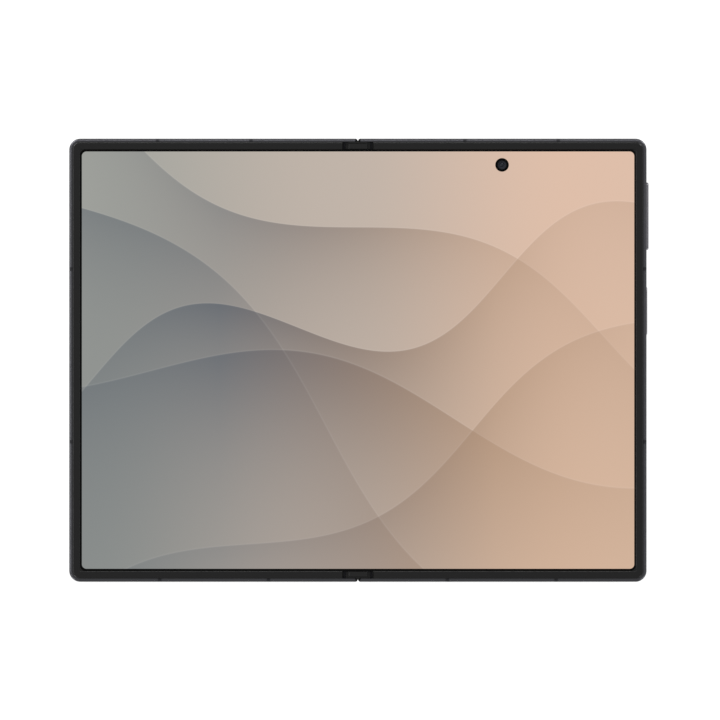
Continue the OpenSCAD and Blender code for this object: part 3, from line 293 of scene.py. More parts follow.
def turned(name, profile, centre, around):
    """A turned piece: rows of (radius, height) carried round an upright axis through centre:
    x = r cos a, y = r sin a, z = height."""
    profile = np.asarray(profile, float)
    angle = np.linspace(0, 2 * np.pi, around, endpoint=False)
    r, z = profile[:, :1], profile[:, 1:]
    points = np.stack([r * np.cos(angle), r * np.sin(angle), z + 0 * angle], axis=-1)
    points = points.reshape(-1, 3) + np.asarray(centre)
    return as_piece(name, points, lattice(len(profile), around, True))


def joined(name, pieces):
    """One object from several, keeping their materials."""
    bpy.ops.object.select_all(action="DESELECT")
    for piece in pieces:
        piece.select_set(True)
    bpy.context.view_layer.objects.active = pieces[0]
    bpy.ops.object.join()
    whole = bpy.context.view_layer.objects.active
    whole.select_set(False)
    whole.name = name
    whole.data.name = name
    return whole


def flat_uv(piece, look):
    """Gives a piece its rest place in the lit area as UV: u = (x - lit_x) / 2 lit_w + 1/2 and
    v = (y - lit_y) / 2 lit_h + 1/2."""
    mesh = piece.data
    co = np.zeros(len(mesh.vertices) * 3, np.float32)
    mesh.vertices.foreach_get("co", co)
    index = np.zeros(len(mesh.loops), np.int32)
    mesh.loops.foreach_get("vertex_index", index)
    middle, half = np.array([(look.lit_x, look.lit_y), (look.lit_w, look.lit_h)])
    flat = (co.reshape(-1, 3)[index, :2] - middle) / (2 * half) + 0.5
    layer = mesh.uv_layers.new(name="ScreenUV")
    layer.data.foreach_set("uv", flat.astype(np.float32).ravel())


def dress(piece, material, body, slot, *nodes):
    """Gives a piece its material and its body, and hides the nodes it stands for. slot, its slot in the
    record, is not used.
    """
    if material:
        piece.data.materials.clear()
        piece.data.materials.append(material)
    if body:
        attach(piece, body)
    if nodes:
        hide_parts(*nodes)
    return piece


# ------------------------------------------------------------------------------- material making

class Graph:
    """A material's node tree, with short ways to add to it."""

    def __init__(self, name):
        self.material = bpy.data.materials.new(name)
        self.material.use_nodes = True
        self.tree = self.material.node_tree
        self.shader = self.tree.nodes["Principled BSDF"]
        self.out = self.tree.nodes["Material Output"]

    def put(self, target, value):
        """Links a socket to target, or sets target's own value."""
        if isinstance(value, bpy.types.NodeSocket):
            self.tree.links.new(value, target)
        elif hasattr(value, "__len__") and len(value) == 3 and target.type == "RGBA":
            target.default_value = (*value, 1.0)
        else:
            target.default_value = value

    def add(self, kind, inputs=None, **settings):
        """A node of a kind, with its settings and its inputs, by name or number."""
        node = self.tree.nodes.new("ShaderNode" + kind)
        for key, value in settings.items():
            setattr(node, key, value)
        for key, value in (inputs or {}).items():
            self.put(node.inputs[key], value)
        return node

    def math(self, operation, *values, clamp=False):
        """The result of a Math node."""
        node = self.add("Math", operation=operation, use_clamp=clamp)
        for target, value in zip(node.inputs, values):
            self.put(target, value)
        return node.outputs[0]

    def mix(self, factor, first, second):
        """Two colours mixed."""
        node = self.add("Mix", data_type="RGBA")
        for key, value in ((0, factor), (6, first), (7, second)):
            self.put(node.inputs[key], value)
        return node.outputs[2]

    def place(self, centre=(0.0, 0.0, 0.0), scale=(1.0, 1.0, 1.0)):
        """The piece's own coordinates in metres, counted from centre."""
        texture = self.add("TexCoord")
        shift = self.add("Mapping", {"Vector": texture.outputs["Object"],
                                     "Location": [-c for c in centre]})
        return self.add("Mapping", {"Vector": shift.outputs[0], "Scale": scale}).outputs[0]

    def axes(self, vector=None):
        """The X, Y and Z of a vector, or of the piece's own coordinates."""
        return self.add("SeparateXYZ", {0: vector or self.place()}).outputs

    def radius(self, centre):
        """Distance from an upright axis through centre."""
        flat = self.add("VectorMath", {0: self.place(centre=centre), 1: (1, 1, 0)},
                        operation="MULTIPLY")
        return self.add("VectorMath", {0: flat.outputs[0]}, operation="LENGTH").outputs["Value"]

    def wave(self, value, pitch):
        """sin(2 pi value / pitch)."""
        return self.math("SINE", self.math("MULTIPLY", value, 2 * math.pi / pitch))

    def step(self, value, soft, start=0.5):
        """0 below value 0 and 1 above it, over a ramp soft wide that is at start where value is 0."""
        return self.math("MULTIPLY_ADD", value, 1 / soft, start, clamp=True)

    def noise(self, grain, detail=3.0, rough=0.5, vector=None):
        """Noise with spots about grain metres wide."""
        node = self.add("TexNoise", {"Vector": vector or self.place(), "Scale": 1 / grain,
                                     "Detail": detail, "Roughness": rough})
        return node.outputs["Fac"]

    def about(self, value, middle, spread):
        """A value from 0 to 1 brought to within spread of middle."""
        node = self.add("MapRange", {"Value": value, "To Min": middle - spread,
                                     "To Max": middle + spread})
        return node.outputs["Result"]

    def smooth(self, value, low, high):
        """0 below low, 1 above high and an S-shaped rise between them."""
        node = self.add("MapRange", {"Value": value, "From Min": low, "From Max": high},
                        interpolation_type="SMOOTHSTEP")
        return node.outputs["Result"]

    def bump(self, height, depth, strength=1.0):
        """Tilts the shader's normal by a height from 0 to 1 that stands for depth in metres."""
        node = self.add("Bump", {"Height": height, "Distance": depth, "Strength": strength})
        self.put(self.shader.inputs["Normal"], node.outputs[0])

    def set(self, **inputs):
        """Sets the shader's inputs: base_color stands for Base Color, and so on."""
        names = {"ior": "IOR", "specular_ior_level": "Specular IOR Level"}
        for key, value in inputs.items():
            label = names.get(key, key.replace("_", " ").title())
            self.put(self.shader.inputs[label], value)
        return self.material


def varied(graph, base, amount, grain, vector=None):
    """A colour that drifts by amount, lighter and darker, in spots about grain wide."""
    base = np.asarray(base)
    light, dark = tuple(base * (1 + amount)), tuple(base * (1 - amount))
    return graph.mix(graph.noise(grain, vector=vector), dark, light)


BLAST_GRAIN = 60 * MICRON
PAINTED_SHADE_EDGE = 0.05 * MM          # height over which the painted shade on a piece's top sets in


def blasted_metal(name, base, rough, depth=0.7 * MICRON, coat=None, painted_shade_z=0.0):
    """Bead-blasted metal: a fine even grain in its height and roughness. Above a given height it can take a
    second, darker colour, coat, which is painted shade on its top."""
    graph = Graph(name)
    grit = graph.noise(BLAST_GRAIN, detail=2.0)
    graph.bump(grit, depth, 0.5)
    colours = varied(graph, base, 0.05, 6 * MM)
    # coat is painted shade: the metal above the given height is darkened
    if coat:
        above = graph.math("SUBTRACT", graph.axes()[2], painted_shade_z)
        colours = graph.mix(graph.step(above, PAINTED_SHADE_EDGE, 0.0), colours, coat)
    return graph.set(base_color=colours, metallic=1.0, roughness=graph.about(grit, rough, 0.05))


def brushed_metal(name, base, rough, along=(1.0, 0.02, 1.0)):
    """Drawn metal: fine lines, long in the direction whose scale is small."""
    graph = Graph(name)
    lines = graph.noise(80 * MICRON, detail=2.0, vector=graph.place(scale=along))
    graph.bump(lines, 2 * MICRON, 0.6)
    return graph.set(base_color=varied(graph, base, 0.06, 3 * MM), metallic=1.0,
                     roughness=graph.about(lines, rough, 0.07))


def turned_metal(name, base, rough, centre):
    """Metal turned on a lathe: fine rings about an upright axis through centre."""
    graph = Graph(name)
    rings = graph.math("MULTIPLY_ADD", graph.wave(graph.radius(centre), 90 * MICRON), 0.5, 0.5)
    graph.bump(rings, 1 * MICRON, 0.5)
    return graph.set(base_color=varied(graph, base, 0.04, 4 * MM), metallic=1.0,
                     roughness=graph.about(rings, rough, 0.04))


def moulded_plastic(name, base, rough, grain=120 * MICRON, shine=0.25):
    """Moulded plastic with a fine spark-eroded texture."""
    graph = Graph(name)
    skin = graph.noise(grain, detail=3.0)
    graph.bump(skin, 1.8 * MICRON, 0.5)
    return graph.set(base_color=varied(graph, base, 0.08, 5 * MM), specular_ior_level=shine,
                     roughness=graph.about(skin, rough, 0.06))


def frosted_glass(name, base):
    """Etched glass: a satin face with a faint fine sparkle over a dark coat."""
    graph = Graph(name)
    etch = graph.noise(45 * MICRON, detail=2.0)
    graph.bump(etch, 2 * MICRON, 0.4)
    return graph.set(base_color=varied(graph, base, 0.06, 14 * MM), specular_ior_level=0.35,
                     roughness=graph.about(etch, 0.41, 0.05), coat_weight=0.12,
                     coat_roughness=0.3)


# ------------------------------------------------------------------------------ the inner screen

def box_distance(graph, u, v, half_w, half_h, r):
    """Distance from a rounded rectangle's edge, below 0 inside it, for places u and v counted
    from its centre: length(max(q, 0)) + min(max(q.x, q.y), 0) - r with q = |p| - half + r."""
    q = [graph.math("SUBTRACT", graph.math("ABSOLUTE", place), half - r)
         for place, half in ((u, half_w), (v, half_h))]
    outside = [graph.math("MAXIMUM", value, 0.0) for value in q]
    corner = graph.math("SQRT", graph.math("ADD", graph.math("MULTIPLY", outside[0], outside[0]),
                                           graph.math("MULTIPLY", outside[1], outside[1])))
    inside = graph.math("MINIMUM", graph.math("MAXIMUM", *q), 0.0)
    return graph.math("SUBTRACT", graph.math("ADD", corner, inside), r)


# Each fold of the picture: its direction in degrees, the offset, height and length of its wave in
# metres, the wave's start in turns, how far its shade reaches in metres, and how dark it is.
PICTURE_FOLDS = (
    (-24, 0.034, 0.0105, 0.150, 0.10, 0.026, 0.60),
    (14, 0.013, 0.0135, 0.118, 0.62, 0.030, 0.75),
    (-9, -0.012, 0.0120, 0.172, 0.33, 0.036, 0.70),
    (27, -0.032, 0.0095, 0.140, 0.86, 0.024, 0.55),
    (-38, -0.020, 0.0150, 0.210, 0.48, 0.040, 0.50),
)
SWELL = 0.32             # how much a fold's shade swells and fades along it
SWELL_TURN = 2 * math.pi / 0.165
SWELL_SHIFT = 3.7        # keeps the swells of different folds out of step
RIM_W = 0.4 * MM         # half the width of the light line on a fold's edge
RIM = 0.06               # strength of that line
FOLD_EDGE = 0.12 * MM    # width of the step from light to shade
LIT_EDGE = 0.04 * MM     # width of the step from the picture to the dark border


def fold_shade(graph, x, y, fold):
    """Shade of one fold of the picture, dark just under a crisp waved edge and fading below it, and
    the light line along that edge. With (s, t) the place turned by the fold's angle, the depth
    under the edge is d = offset + wave * sin(2 pi (s / length + start)) - t. The shade is
    dark * exp(-d / reach) where d > 0, and the line is 1 - |d| / width."""
    angle, offset, wave, long, start, reach, dark = fold
    c, s = math.cos(math.radians(angle)), math.sin(math.radians(angle))
    along = graph.math("MULTIPLY_ADD", x, c, graph.math("MULTIPLY", y, s))
    across = graph.math("MULTIPLY_ADD", x, -s, graph.math("MULTIPLY", y, c))
    turn = graph.math("MULTIPLY_ADD", along, 2 * math.pi / long, 2 * math.pi * start)
    edge = graph.math("MULTIPLY_ADD", graph.math("SINE", turn), wave, offset)
    depth = graph.math("SUBTRACT", edge, across)
    crisp = graph.step(depth, FOLD_EDGE, 0.0)
    fade = graph.math("POWER", math.e, graph.math("MULTIPLY", depth, -1 / reach))
    shade = graph.math("MULTIPLY", graph.math("MULTIPLY", fade, crisp), dark, clamp=True)
    drift = graph.math("MULTIPLY_ADD", along, SWELL_TURN, 2 * math.pi * start * SWELL_SHIFT)
    swell = graph.math("MULTIPLY_ADD", graph.math("SINE", drift), SWELL, 1 - SWELL)
    near = graph.math("MULTIPLY_ADD", graph.math("ABSOLUTE", depth), -1 / RIM_W, 1.0, clamp=True)
    return graph.math("MULTIPLY", shade, swell), graph.math("MULTIPLY", near, RIM * dark)


def screen_glow(name, look):
    """The lit screen: a picture of soft waved folds over a cool to warm drift, cut off at the lit
    area's rounded edge, under clear glass."""
    graph = Graph(name)
    uv = graph.add("UVMap", uv_map="ScreenUV").outputs[0]
    u, v, _ = graph.axes(uv)
    x = graph.math("MULTIPLY_ADD", u, 2 * look.lit_w, -look.lit_w)
    y = graph.math("MULTIPLY_ADD", v, 2 * look.lit_h, -look.lit_h)

    def drift(left, middle, right):
        return graph.mix(graph.smooth(u, 0.45, 0.9), graph.mix(graph.smooth(u, 0, 0.5), left, middle),
                         right)

    upper = drift(look.cool, look.sand, look.peach)
    lower = drift(look.cool_low, look.sand, look.tan)
    picture = graph.mix(graph.smooth(v, 0, 1), lower, upper)
    shade_colour = graph.mix(graph.step(u, 0.5, -0.5), look.slate, look.umber)
    for fold in PICTURE_FOLDS:
        shade, rim = fold_shade(graph, x, y, fold)
        picture = graph.mix(rim, graph.mix(shade, picture, shade_colour), (1.0, 1.0, 1.0))
    edge = box_distance(graph, x, y, look.lit_w, look.lit_h, look.lit_r)
    picture = graph.mix(graph.step(edge, LIT_EDGE), picture, (0.0, 0.0, 0.0))
    return graph.set(base_color=tuple(look.mask), emission_color=picture, emission_strength=1.0,
                     roughness=0.06, specular_ior_level=0.05)


class PHONE_OT_inner_screen(bpy.types.Operator):
    """Build the inner screen: a flat slab on each half and a strip on each side of the hinge line"""
    bl_idname = "phone.inner_screen"
    bl_label = "Inner Screen"

    def execute(self, context):
        look = context.scene.phone_screen
        glow = screen_glow("screen_glow", look)
        hole = [(axis("inner_camera")[:2], context.scene.phone_lenses.inner_r)]
        r = 0.6 * MM
        wall = [(0.0, SCREEN_LOW.z), (0.0, SCREEN_Z)]
        x0, x1, y1 = SCREEN_LOW.x, SCREEN_HIGH.x, SCREEN_HIGH.y
        slabs = {
            "screen_main_side": ((x0, -y1), (x1, y1), (r, 0, 0, r), hole, "main_half",
                                 "display_main", "display_main_side"),
            "screen_cover_side": ((-x1, -y1), (-x0, y1), (0, r, r, 0), [], "cover_half",
                                  "display_cover", "display_cover_side"),
        }
        for name, (low, high, radii, holes, body, slot, node) in slabs.items():
            slab = plate(name, lambda inset: rounded(low, high, radii, inset), wall, holes)
            flat_uv(slab, look)
            dress(slab, glow, body, slot, node)
        for side, body in ((1, "main_half"), (-1, "cover_half")):
            strip = bend_strip(f"screen_bend_{body}", 0.0, side * FOLD_HIGH.x, FOLD_HIGH.y,
                               FOLD_LOW.z, FOLD_HIGH.z, look.columns)
            flat_uv(strip, look)
            dress(strip, glow, None, "display_mid", "display_fold")
            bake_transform(strip)
        return {"FINISHED"}


def bend_strip(name, x0, x1, half_y, z0, z1, columns):
    """A slab from x0 to x1 in columns: the four corners (y, z) of its section carried along X."""
    section = np.array([(-half_y, z0), (half_y, z0), (half_y, z1), (-half_y, z1)])
    xs = np.linspace(x0, x1, columns + 1)
    points = np.concatenate([np.column_stack([np.full(4, x), section]) for x in xs])
    faces = lattice(len(xs), 4, True).tolist()
    last = 4 * columns
    faces += [[0, 1, 2, 3], [last + 3, last + 2, last + 1, last]]
    return as_piece(name, points, faces, bends=True)


# ---------------------------------------------------------------------------------- the cameras

def by_radius(graph, centre, stops):
    """A colour that changes with the distance from an upright axis: stops are (radius, colour)
    pairs, and the colours meet sharply."""
    radius = graph.radius(centre)
    picture = stops[0][1]
    for edge, after in stops[1:]:
        past = graph.step(graph.math("SUBTRACT", radius, edge), 15 * MICRON)
        picture = graph.mix(past, picture, after)
    return picture


def lens_glass(name, base, coat_nm, shine=0.6):
    """Coated lens glass: deep and nearly black, with a coloured thin film over it."""
    graph = Graph(name)
    facing = graph.add("LayerWeight", {"Blend": 0.35}).outputs["Facing"]
    tint = graph.mix(facing, base, tuple(0.25 * c for c in base))
    return graph.set(base_color=tint, roughness=0.03, specular_ior_level=shine,
                     coat_weight=shine, coat_roughness=0.02, thin_film_thickness=coat_nm)


def ridged(r0, r1, z0, z1, steps):
    """Profile of a stepped cone from (r0, z0) to (r1, z1): level treads and upright risers."""
    r = np.repeat(np.linspace(r0, r1, steps + 1), 2)[:-1]
    z = np.repeat(np.linspace(z0, z1, steps + 1), 2)[1:]
    return list(zip(r, z))


def dome(r, rise, z, turn, steps=10):
    """Profile of a spherical cap of radius r at its rim, which rises towards turn from z:
    radius t r and height z + turn * rise * (1 - t^2), for t from 1 to 0."""
    t = np.linspace(1, 0, steps)
    return list(zip(t * r, z + turn * rise * (1 - t * t)))


class PHONE_OT_inner_camera(bpy.types.Operator):
    """Build the camera that looks through the inner screen: housing, barrel and front lens"""
    bl_idname = "phone.inner_camera"
    bl_label = "Inner Camera"

    def execute(self, context):
        look = context.scene.phone_lenses
        low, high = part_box("inner_camera")
        centre = axis("inner_camera")
        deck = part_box("logic_board")[1].z
        body = plate("inner_camera_housing",
                     lambda inset: rounded((low.x, low.y), (high.x, high.y), [0.6 * MM] * 4, inset),
                     quarter(0.1 * MM, low.z, deck))
        dress(body, moulded_plastic("camera_housing", tone(24, 24, 25), 0.5), "main_half",
              "camera_black", "inner_camera")
        # heights, and then radii, from the outside of the barrel in to the lens
        foot, top, seat = deck - 0.05 * MM, SCREEN_Z - 0.04 * MM, SCREEN_Z - 0.38 * MM
        outer, window, sight, eye = look.inner_r - 0.02 * MM, 1.20 * MM, 0.86 * MM, 0.58 * MM
        profile = [(0, foot), (outer, foot), (outer, top - 0.03 * MM), (outer - 0.03 * MM, top),
                   (window, top), (window - 0.02 * MM, top - 0.03 * MM), (sight, top - 0.10 * MM),
                   (sight, top - 0.16 * MM), (eye, top - 0.20 * MM), (eye, seat), (0, seat)]
        barrel = turned("inner_camera_barrel", profile, centre, look.around)
        graph = Graph("camera_barrel")
        colours = by_radius(graph, centre, ((0, tone(10, 14, 20)), (eye, tone(40, 42, 48)),
                                            (sight, tone(35, 36, 40)), (window, tone(3, 3, 3))))
        graph.bump(graph.noise(40 * MICRON), 2 * MICRON, 0.4)
        dress(barrel, graph.set(base_color=colours, roughness=0.42, specular_ior_level=0.03),
              "main_half", "camera_black")
        lens_r, back = eye - 0.02 * MM, seat + 0.01 * MM
        lens = turned("inner_camera_lens", [(0, back), (lens_r, back)]
                      + dome(lens_r, 0.20 * MM, back + 0.05 * MM, 1), centre, look.around)
        dress(lens, lens_glass("inner_lens_glass", tone(12, 18, 28), 0.0, 0.12), "main_half",
              "camera_black")
        return {"FINISHED"}


REAR_LENSES = (          # share of the barrel's opening, share of the front lens, coating in nm
    (0.80, 0.72, 300.0),
    (1.00, 1.00, 380.0),
    (0.90, 0.84, 440.0),
)
WINDOW_Z = 0.30 * MM         # face of the rear lenses' windows
TUBE_Z = 0.86 * MM           # front of the barrels behind them
LENS_Z = 2.0 * MM            # edge of the front lenses
SEAT_Z = 2.3 * MM            # what the front lenses stand on
TUBE_BACK = 2.75 * MM
CREST = 0.28 * MM            # roundness of a trim ring's crest


class PHONE_OT_rear_cameras(bpy.types.Operator):
    """Build the three rear cameras: trim rings, masked windows, stepped barrels and lenses"""
    bl_idname = "phone.rear_cameras"
    bl_label = "Rear Cameras"

    def execute(self, context):
        look = context.scene.phone_lenses
        low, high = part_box("camera_lens_rings")
        glass_low, glass_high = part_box("camera_lens_glasses")
        x = (low.x + high.x) / 2
        outer, glass = (high.x - low.x) / 2, (glass_high.x - glass_low.x) / 2
        ys = np.linspace(low.y + outer, high.y - outer, len(REAR_LENSES))
        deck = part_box("camera_island")[0].z
        parts = {"trims": [], "masks": [], "barrels": [], "lenses": [], "modules": []}
        for y, (opening, front, nm) in zip(ys, REAR_LENSES):
            open_r, front_r = opening * look.barrel_r, front * look.dome_r
            for kind, profile in (("trims", trim_profile(outer, glass, deck)),
                                  ("masks", mask_profile(glass, open_r)),
                                  ("barrels", barrel_profile(open_r, front_r, look.steps)),
                                  ("lenses", lens_profile(front_r))):
                parts[kind].append(turned(kind, profile, (x, y, 0), look.around))
            parts["lenses"][-1].data.materials.append(
                lens_glass(f"lens_glass_{nm:.0f}", tone(24, 32, 48), nm))
            parts["modules"].append(module_block(x, y))
        wholes = (
            ("trims", "camera_trim_rings", turned_metal("turned_trim", tone(112, 112, 117), 0.28,
                                                        (x, 0, 0)), "ring_metal", ["camera_lens_rings"]),
            ("masks", "camera_windows", printed_glass("printed_mask"), "lens_glass",
             ["camera_lens_glasses"]),
            ("barrels", "camera_barrels", moulded_plastic("barrel_black", tone(22, 22, 24), 0.45,
                                                          60 * MICRON), "camera_black", []),
            ("lenses", "camera_front_lenses", None, "lens_glass", []),
            ("modules", "camera_module_bodies", moulded_plastic("module_resin", tone(38, 38, 40), 0.5),
             "camera_black", ["camera_modules"]),
        )
        for kind, name, material, slot, nodes in wholes:
            dress(joined(name, parts[kind]), material, "main_half", slot, *nodes)
        return {"FINISHED"}


def printed_glass(name):
    """Clear glass over dark print, very slightly waved."""
    graph = Graph(name)
    graph.bump(graph.noise(2 * MM), 1 * MICRON, 0.2)
    return graph.set(base_color=varied(graph, tone(10, 10, 12), 0.1, 3 * MM), roughness=0.05,
                     coat_weight=0.3, coat_roughness=0.02)


def trim_profile(outer, inner, deck):
    """Section of a lens's trim ring: an upright outer wall on the deck, a soft crest and a polished
    slope down to the window."""
    foot, back, hem = outer - 0.3 * MM, 2.6 * MM, inner + 0.02 * MM
    crest = [(outer - CREST + CREST * math.cos(a), WINDOW_Z - CREST * math.sin(a))
             for a in np.linspace(0, math.pi / 2, 7)]
    return ([(foot, back), (foot, deck), (outer, deck)] + crest
            + [(outer - 0.62 * MM, 0.02 * MM), (outer - 0.70 * MM, 0.06 * MM),
               (hem, 0.42 * MM), (hem, back), (foot, back)])


def mask_profile(outer, opening):
    """Section of a window's dark printed rim, with a bevel down into the barrel."""
    back, bevel = TUBE_Z - 0.01 * MM, 0.06 * MM
    return [(outer, back), (outer, WINDOW_Z + bevel), (outer - bevel, WINDOW_Z),
            (opening + 3 * bevel, WINDOW_Z), (opening, WINDOW_Z + 2 * bevel), (opening, back),
            (outer, back)]


def barrel_profile(opening, front, steps):
    """Section of a lens barrel: ridges down to the front lens, and a closed back."""
    wall, lip, seat = opening + 0.6 * MM, opening - 0.02 * MM, front + 0.05 * MM
    return ([(wall, TUBE_Z), (lip, TUBE_Z)]
            + ridged(lip, front + 0.25 * MM, TUBE_Z + 0.06 * MM, LENS_Z - 0.1 * MM, steps)
            + [(seat, LENS_Z - 0.05 * MM), (seat, SEAT_Z), (0, SEAT_Z), (0, TUBE_BACK),
               (wall, TUBE_BACK), (wall, TUBE_Z)])


def lens_profile(front):
    """Section of a front lens: a shallow dome over a short cylinder."""
    back = SEAT_Z - 0.02 * MM
    return [(0, back), (front, back), (front, LENS_Z)] + dome(front, 0.6 * MM, LENS_Z, -1)


def module_block(x, y):
    """A camera module's housing inside the phone, behind its barrel."""
    half, low, high = 5.75 * MM, 3.0 * MM, 6.15 * MM
    return plate("module", lambda inset: rounded((x - half, y - half), (x + half, y + half),
                                                 [0.8 * MM] * 4, inset), quarter(0.15 * MM, low, high))


class PHONE_OT_flash(bpy.types.Operator):
    """Build the flash: a lens cut with rings over a warm lamp"""
    bl_idname = "phone.flash"
    bl_label = "Flash"

    def execute(self, context):
        look = context.scene.phone_lenses
        low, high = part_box("flash_lens")
        r = (high.y - low.y) / 2
        centre = (high.x - r, (low.y + high.y) / 2, 0)
        edges = np.linspace(0.12, 0.82, look.flash_rings + 1) * r
        face, valley, front = BACK_Z + 0.02 * MM, BACK_Z + 0.10 * MM, BACK_Z + 0.005 * MM
        foot, flange, stem = BACK_Z + 0.03 * MM, BACK_Z + 0.6 * MM, 0.66 * r
        teeth = [(0, face)]
        for inner, after in zip(edges[:-1], edges[1:]):
            teeth += [(inner, face), (inner + 0.02 * MM, valley), (after, foot)]
        rim = [(0.86 * r, foot), (0.88 * r, front), (r - 0.03 * MM, front), (r, front + 0.03 * MM),
               (r, flange), (stem, flange), (stem, high.z), (0, high.z)]
        lens = turned("flash_window", teeth + rim, centre, look.around)
        graph = Graph("flash_resin")
        colours = by_radius(graph, centre, ((0, tone(236, 214, 140)), (0.38 * r, tone(226, 222, 208)),
                                            (0.86 * r, tone(196, 196, 194))))
        dress(lens, graph.set(base_color=colours, roughness=0.16, specular_ior_level=0.5,
                              coat_weight=0.4), "main_half", "flash_resin", "flash_lens")
        return {"FINISHED"}


# ------------------------------------------------------------------------------ the cover screen

class PHONE_OT_cover_screen(bpy.types.Operator):
    """Build the cover screen's glass with its rounded edge, and the camera behind it"""
    bl_idname = "phone.cover_screen"
    bl_label = "Cover Screen"

    def execute(self, context):
        look, lenses = context.scene.phone_body, context.scene.phone_lenses
        low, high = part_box("cover_display_glass")
        centre = axis("cover_camera")
        hole_r = 2.0 * MM
        corner, inner = 2.15 * MM, 0.1 * MM
        glass = plate("cover_window",
                      lambda inset: rounded((low.x, low.y), (high.x, high.y),
                                            [inner, corner, corner, inner], inset),
                      quarter(look.glass_edge, high.z, low.z), [(centre[:2], hole_r)])
        graph = Graph("dark_glass")
        x, y, _ = graph.axes(graph.place(centre=((low.x + high.x) / 2, 0, 0)))
        border = 1.6 * MM
        edge = box_distance(graph, x, y, (high.x - low.x) / 2 - border, high.y - border, 1.4 * MM)
        panel = varied(graph, tuple(look.cover), 0.12, 20 * MM)
        colours = graph.mix(graph.step(edge, 0.05 * MM), panel, tuple(0.35 * c for c in look.cover))
        dress(glass, graph.set(base_color=colours, roughness=0.045, specular_ior_level=0.5),
              "cover_half", "cover_glass", "cover_display_glass")
        z, back, wall, throat, lens_r = low.z, high.z + 0.6 * MM, hole_r - 0.02 * MM, 1.45 * MM, 0.76 * MM
        profile = [(0, back), (wall, back), (wall, z + 0.04 * MM), (wall - 0.03 * MM, z + 0.01 * MM),
                   (throat + 0.05 * MM, z + 0.01 * MM), (throat, z + 0.05 * MM)]
        profile += ridged(throat, lens_r + 0.04 * MM, z + 0.08 * MM, z + 0.35 * MM, 3)
        profile += [(lens_r + 0.02 * MM, z + 0.6 * MM), (0, z + 0.6 * MM)]
        barrel = turned("cover_camera_barrel", profile, centre, lenses.around)
        dress(barrel, moulded_plastic("cover_barrel_black", tone(16, 16, 17), 0.4, 60 * MICRON),
              "cover_half", "camera_black")
        lens = turned("cover_camera_lens", [(0, z + 0.59 * MM), (lens_r, z + 0.59 * MM)]
                      + dome(lens_r, 0.16 * MM, z + 0.5 * MM, -1), centre, lenses.around)
        dress(lens, lens_glass("cover_lens_glass", tone(22, 30, 44), lenses.coat_nm), "cover_half",
              "camera_black")
        return {"FINISHED"}


# ---------------------------------------------------------------------------- keys, trims, cable

KEY_END = 0.7 * MM           # how far a key's flange runs past its cap at each end
KEY_HALF = 0.95 * MM         # half the cap's height
KEY_FOOT = 0.02 * MM         # how deep the crown starts in the frame's wall
KEY_CROWNS = {"volume_rocker": 0.4 * MM, "power_key": 0.2 * MM}      # width of the rounded edge


class PHONE_OT_side_keys(bpy.types.Operator):
    """Build the volume rocker and the power key: crowned bars with rounded ends"""
    bl_idname = "phone.side_keys"
    bl_label = "Side Keys"

    def execute(self, context):
        look = context.scene.phone_body
        # the keys' lighter metal carries a painted highlight
        metal = blasted_metal("key_metal", tuple(look.key_metal), 0.34)
        for node, crown_w in KEY_CROWNS.items():
            low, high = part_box(node)
            foot = HALF_W - KEY_FOOT
            # the section's rows: inset from the outline, and place across the phone
            rows = [(0.0, low.x + 0.5 * MM), (0.0, foot)]
            rows += [(crown_w * (1 - math.cos(a)), foot + (high.x - foot) * math.sin(a))
                     for a in np.linspace(0, np.pi / 2, 9)[1:]]
            bar = plate(node + "_cap",
                        lambda inset: rounded((low.y + KEY_END, EDGE_Z - KEY_HALF),
                                              (high.y - KEY_END, EDGE_Z + KEY_HALF), [KEY_HALF] * 4, inset),
                        np.array(rows), swap=(2, 0, 1))
            flange = plate(node + "_flange",
                           lambda inset: rounded((low.y, low.z), (high.y, high.z), [0.3 * MM] * 4, inset),
                           quarter(0.08 * MM, low.x + 0.1 * MM, low.x + 0.6 * MM), swap=(2, 0, 1))
            whole = joined(node + "_bar", [bar, flange])
            dress(whole, metal, node, "key_metal", node)
        return {"FINISHED"}


CONTACTS = 12
CONTACT_PITCH = 0.5 * MM
CONTACT_W = 0.25 * MM
CONTACT_Y = (1.2 * MM, 4.2 * MM)      # from the port's mouth to a contact's ends
CONTACT_Z = (0.33 * MM, 0.38 * MM)    # from the port's middle to a contact's two faces
PORT_RISE = 0.205 * MM                # the port's middle above the keys'
HOLE_R = 0.44 * MM
HOLE_PITCH = 2.0 * MM
GAUZE_DEPTH = 0.6 * MM
SPEAKER_ROW = 2 * MM                  # the sound holes' middle, right of the loudspeaker's
MAIN_MIC = 9 * MM                     # left of the port's middle
COVER_MIC = 18 * MM                   # left of the earpiece's middle


class PHONE_OT_port_trims(bpy.types.Operator):
    """Build the charging port's contacts and the fine meshes behind the sound holes"""
    bl_idname = "phone.port_trims"
    bl_label = "Port Trims"

    def execute(self, context):
        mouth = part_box("usb_c_port")[0].y
        port = axis("usb_c_port")[0]
        contacts = []
        for place in spaced(port, CONTACTS, CONTACT_PITCH):
            left, right = place - CONTACT_W / 2, place + CONTACT_W / 2
            for side in (1, -1):
                z0, z1 = [EDGE_Z + PORT_RISE + side * face for face in CONTACT_Z]
                contacts.append(plate("contact", lambda inset: rounded(
                    (left, mouth + CONTACT_Y[0]), (right, mouth + CONTACT_Y[1]),
                    [0.06 * MM] * 4, inset), [(0.0, z0), (0.02 * MM, z1)]))
        gold = brushed_metal("contact_gold", tone(214, 178, 104), 0.25)
        dress(joined("usb_contacts", contacts), gold, "main_half", "port_steel")
        gauze = woven_gauze("sound_gauze")
        speaker = axis("loudspeaker")[0] + SPEAKER_ROW
        earpiece = axis("earpiece")[0]
        rows = {"main_half": [(x, -1) for x in spaced(speaker, 8, HOLE_PITCH)]
                + [(port - MAIN_MIC, -1), (axis("inner_camera")[0], 1)],
                "cover_half": [(x, 1) for x in spaced(earpiece, 6, HOLE_PITCH)]
                + [(earpiece - COVER_MIC, -1)]}
        for body, holes in rows.items():
            discs = [sound_disc(hole_x, side) for hole_x, side in holes]
            dress(joined(f"sound_meshes_{body}", discs), gauze, body, "module_black")
        return {"FINISHED"}


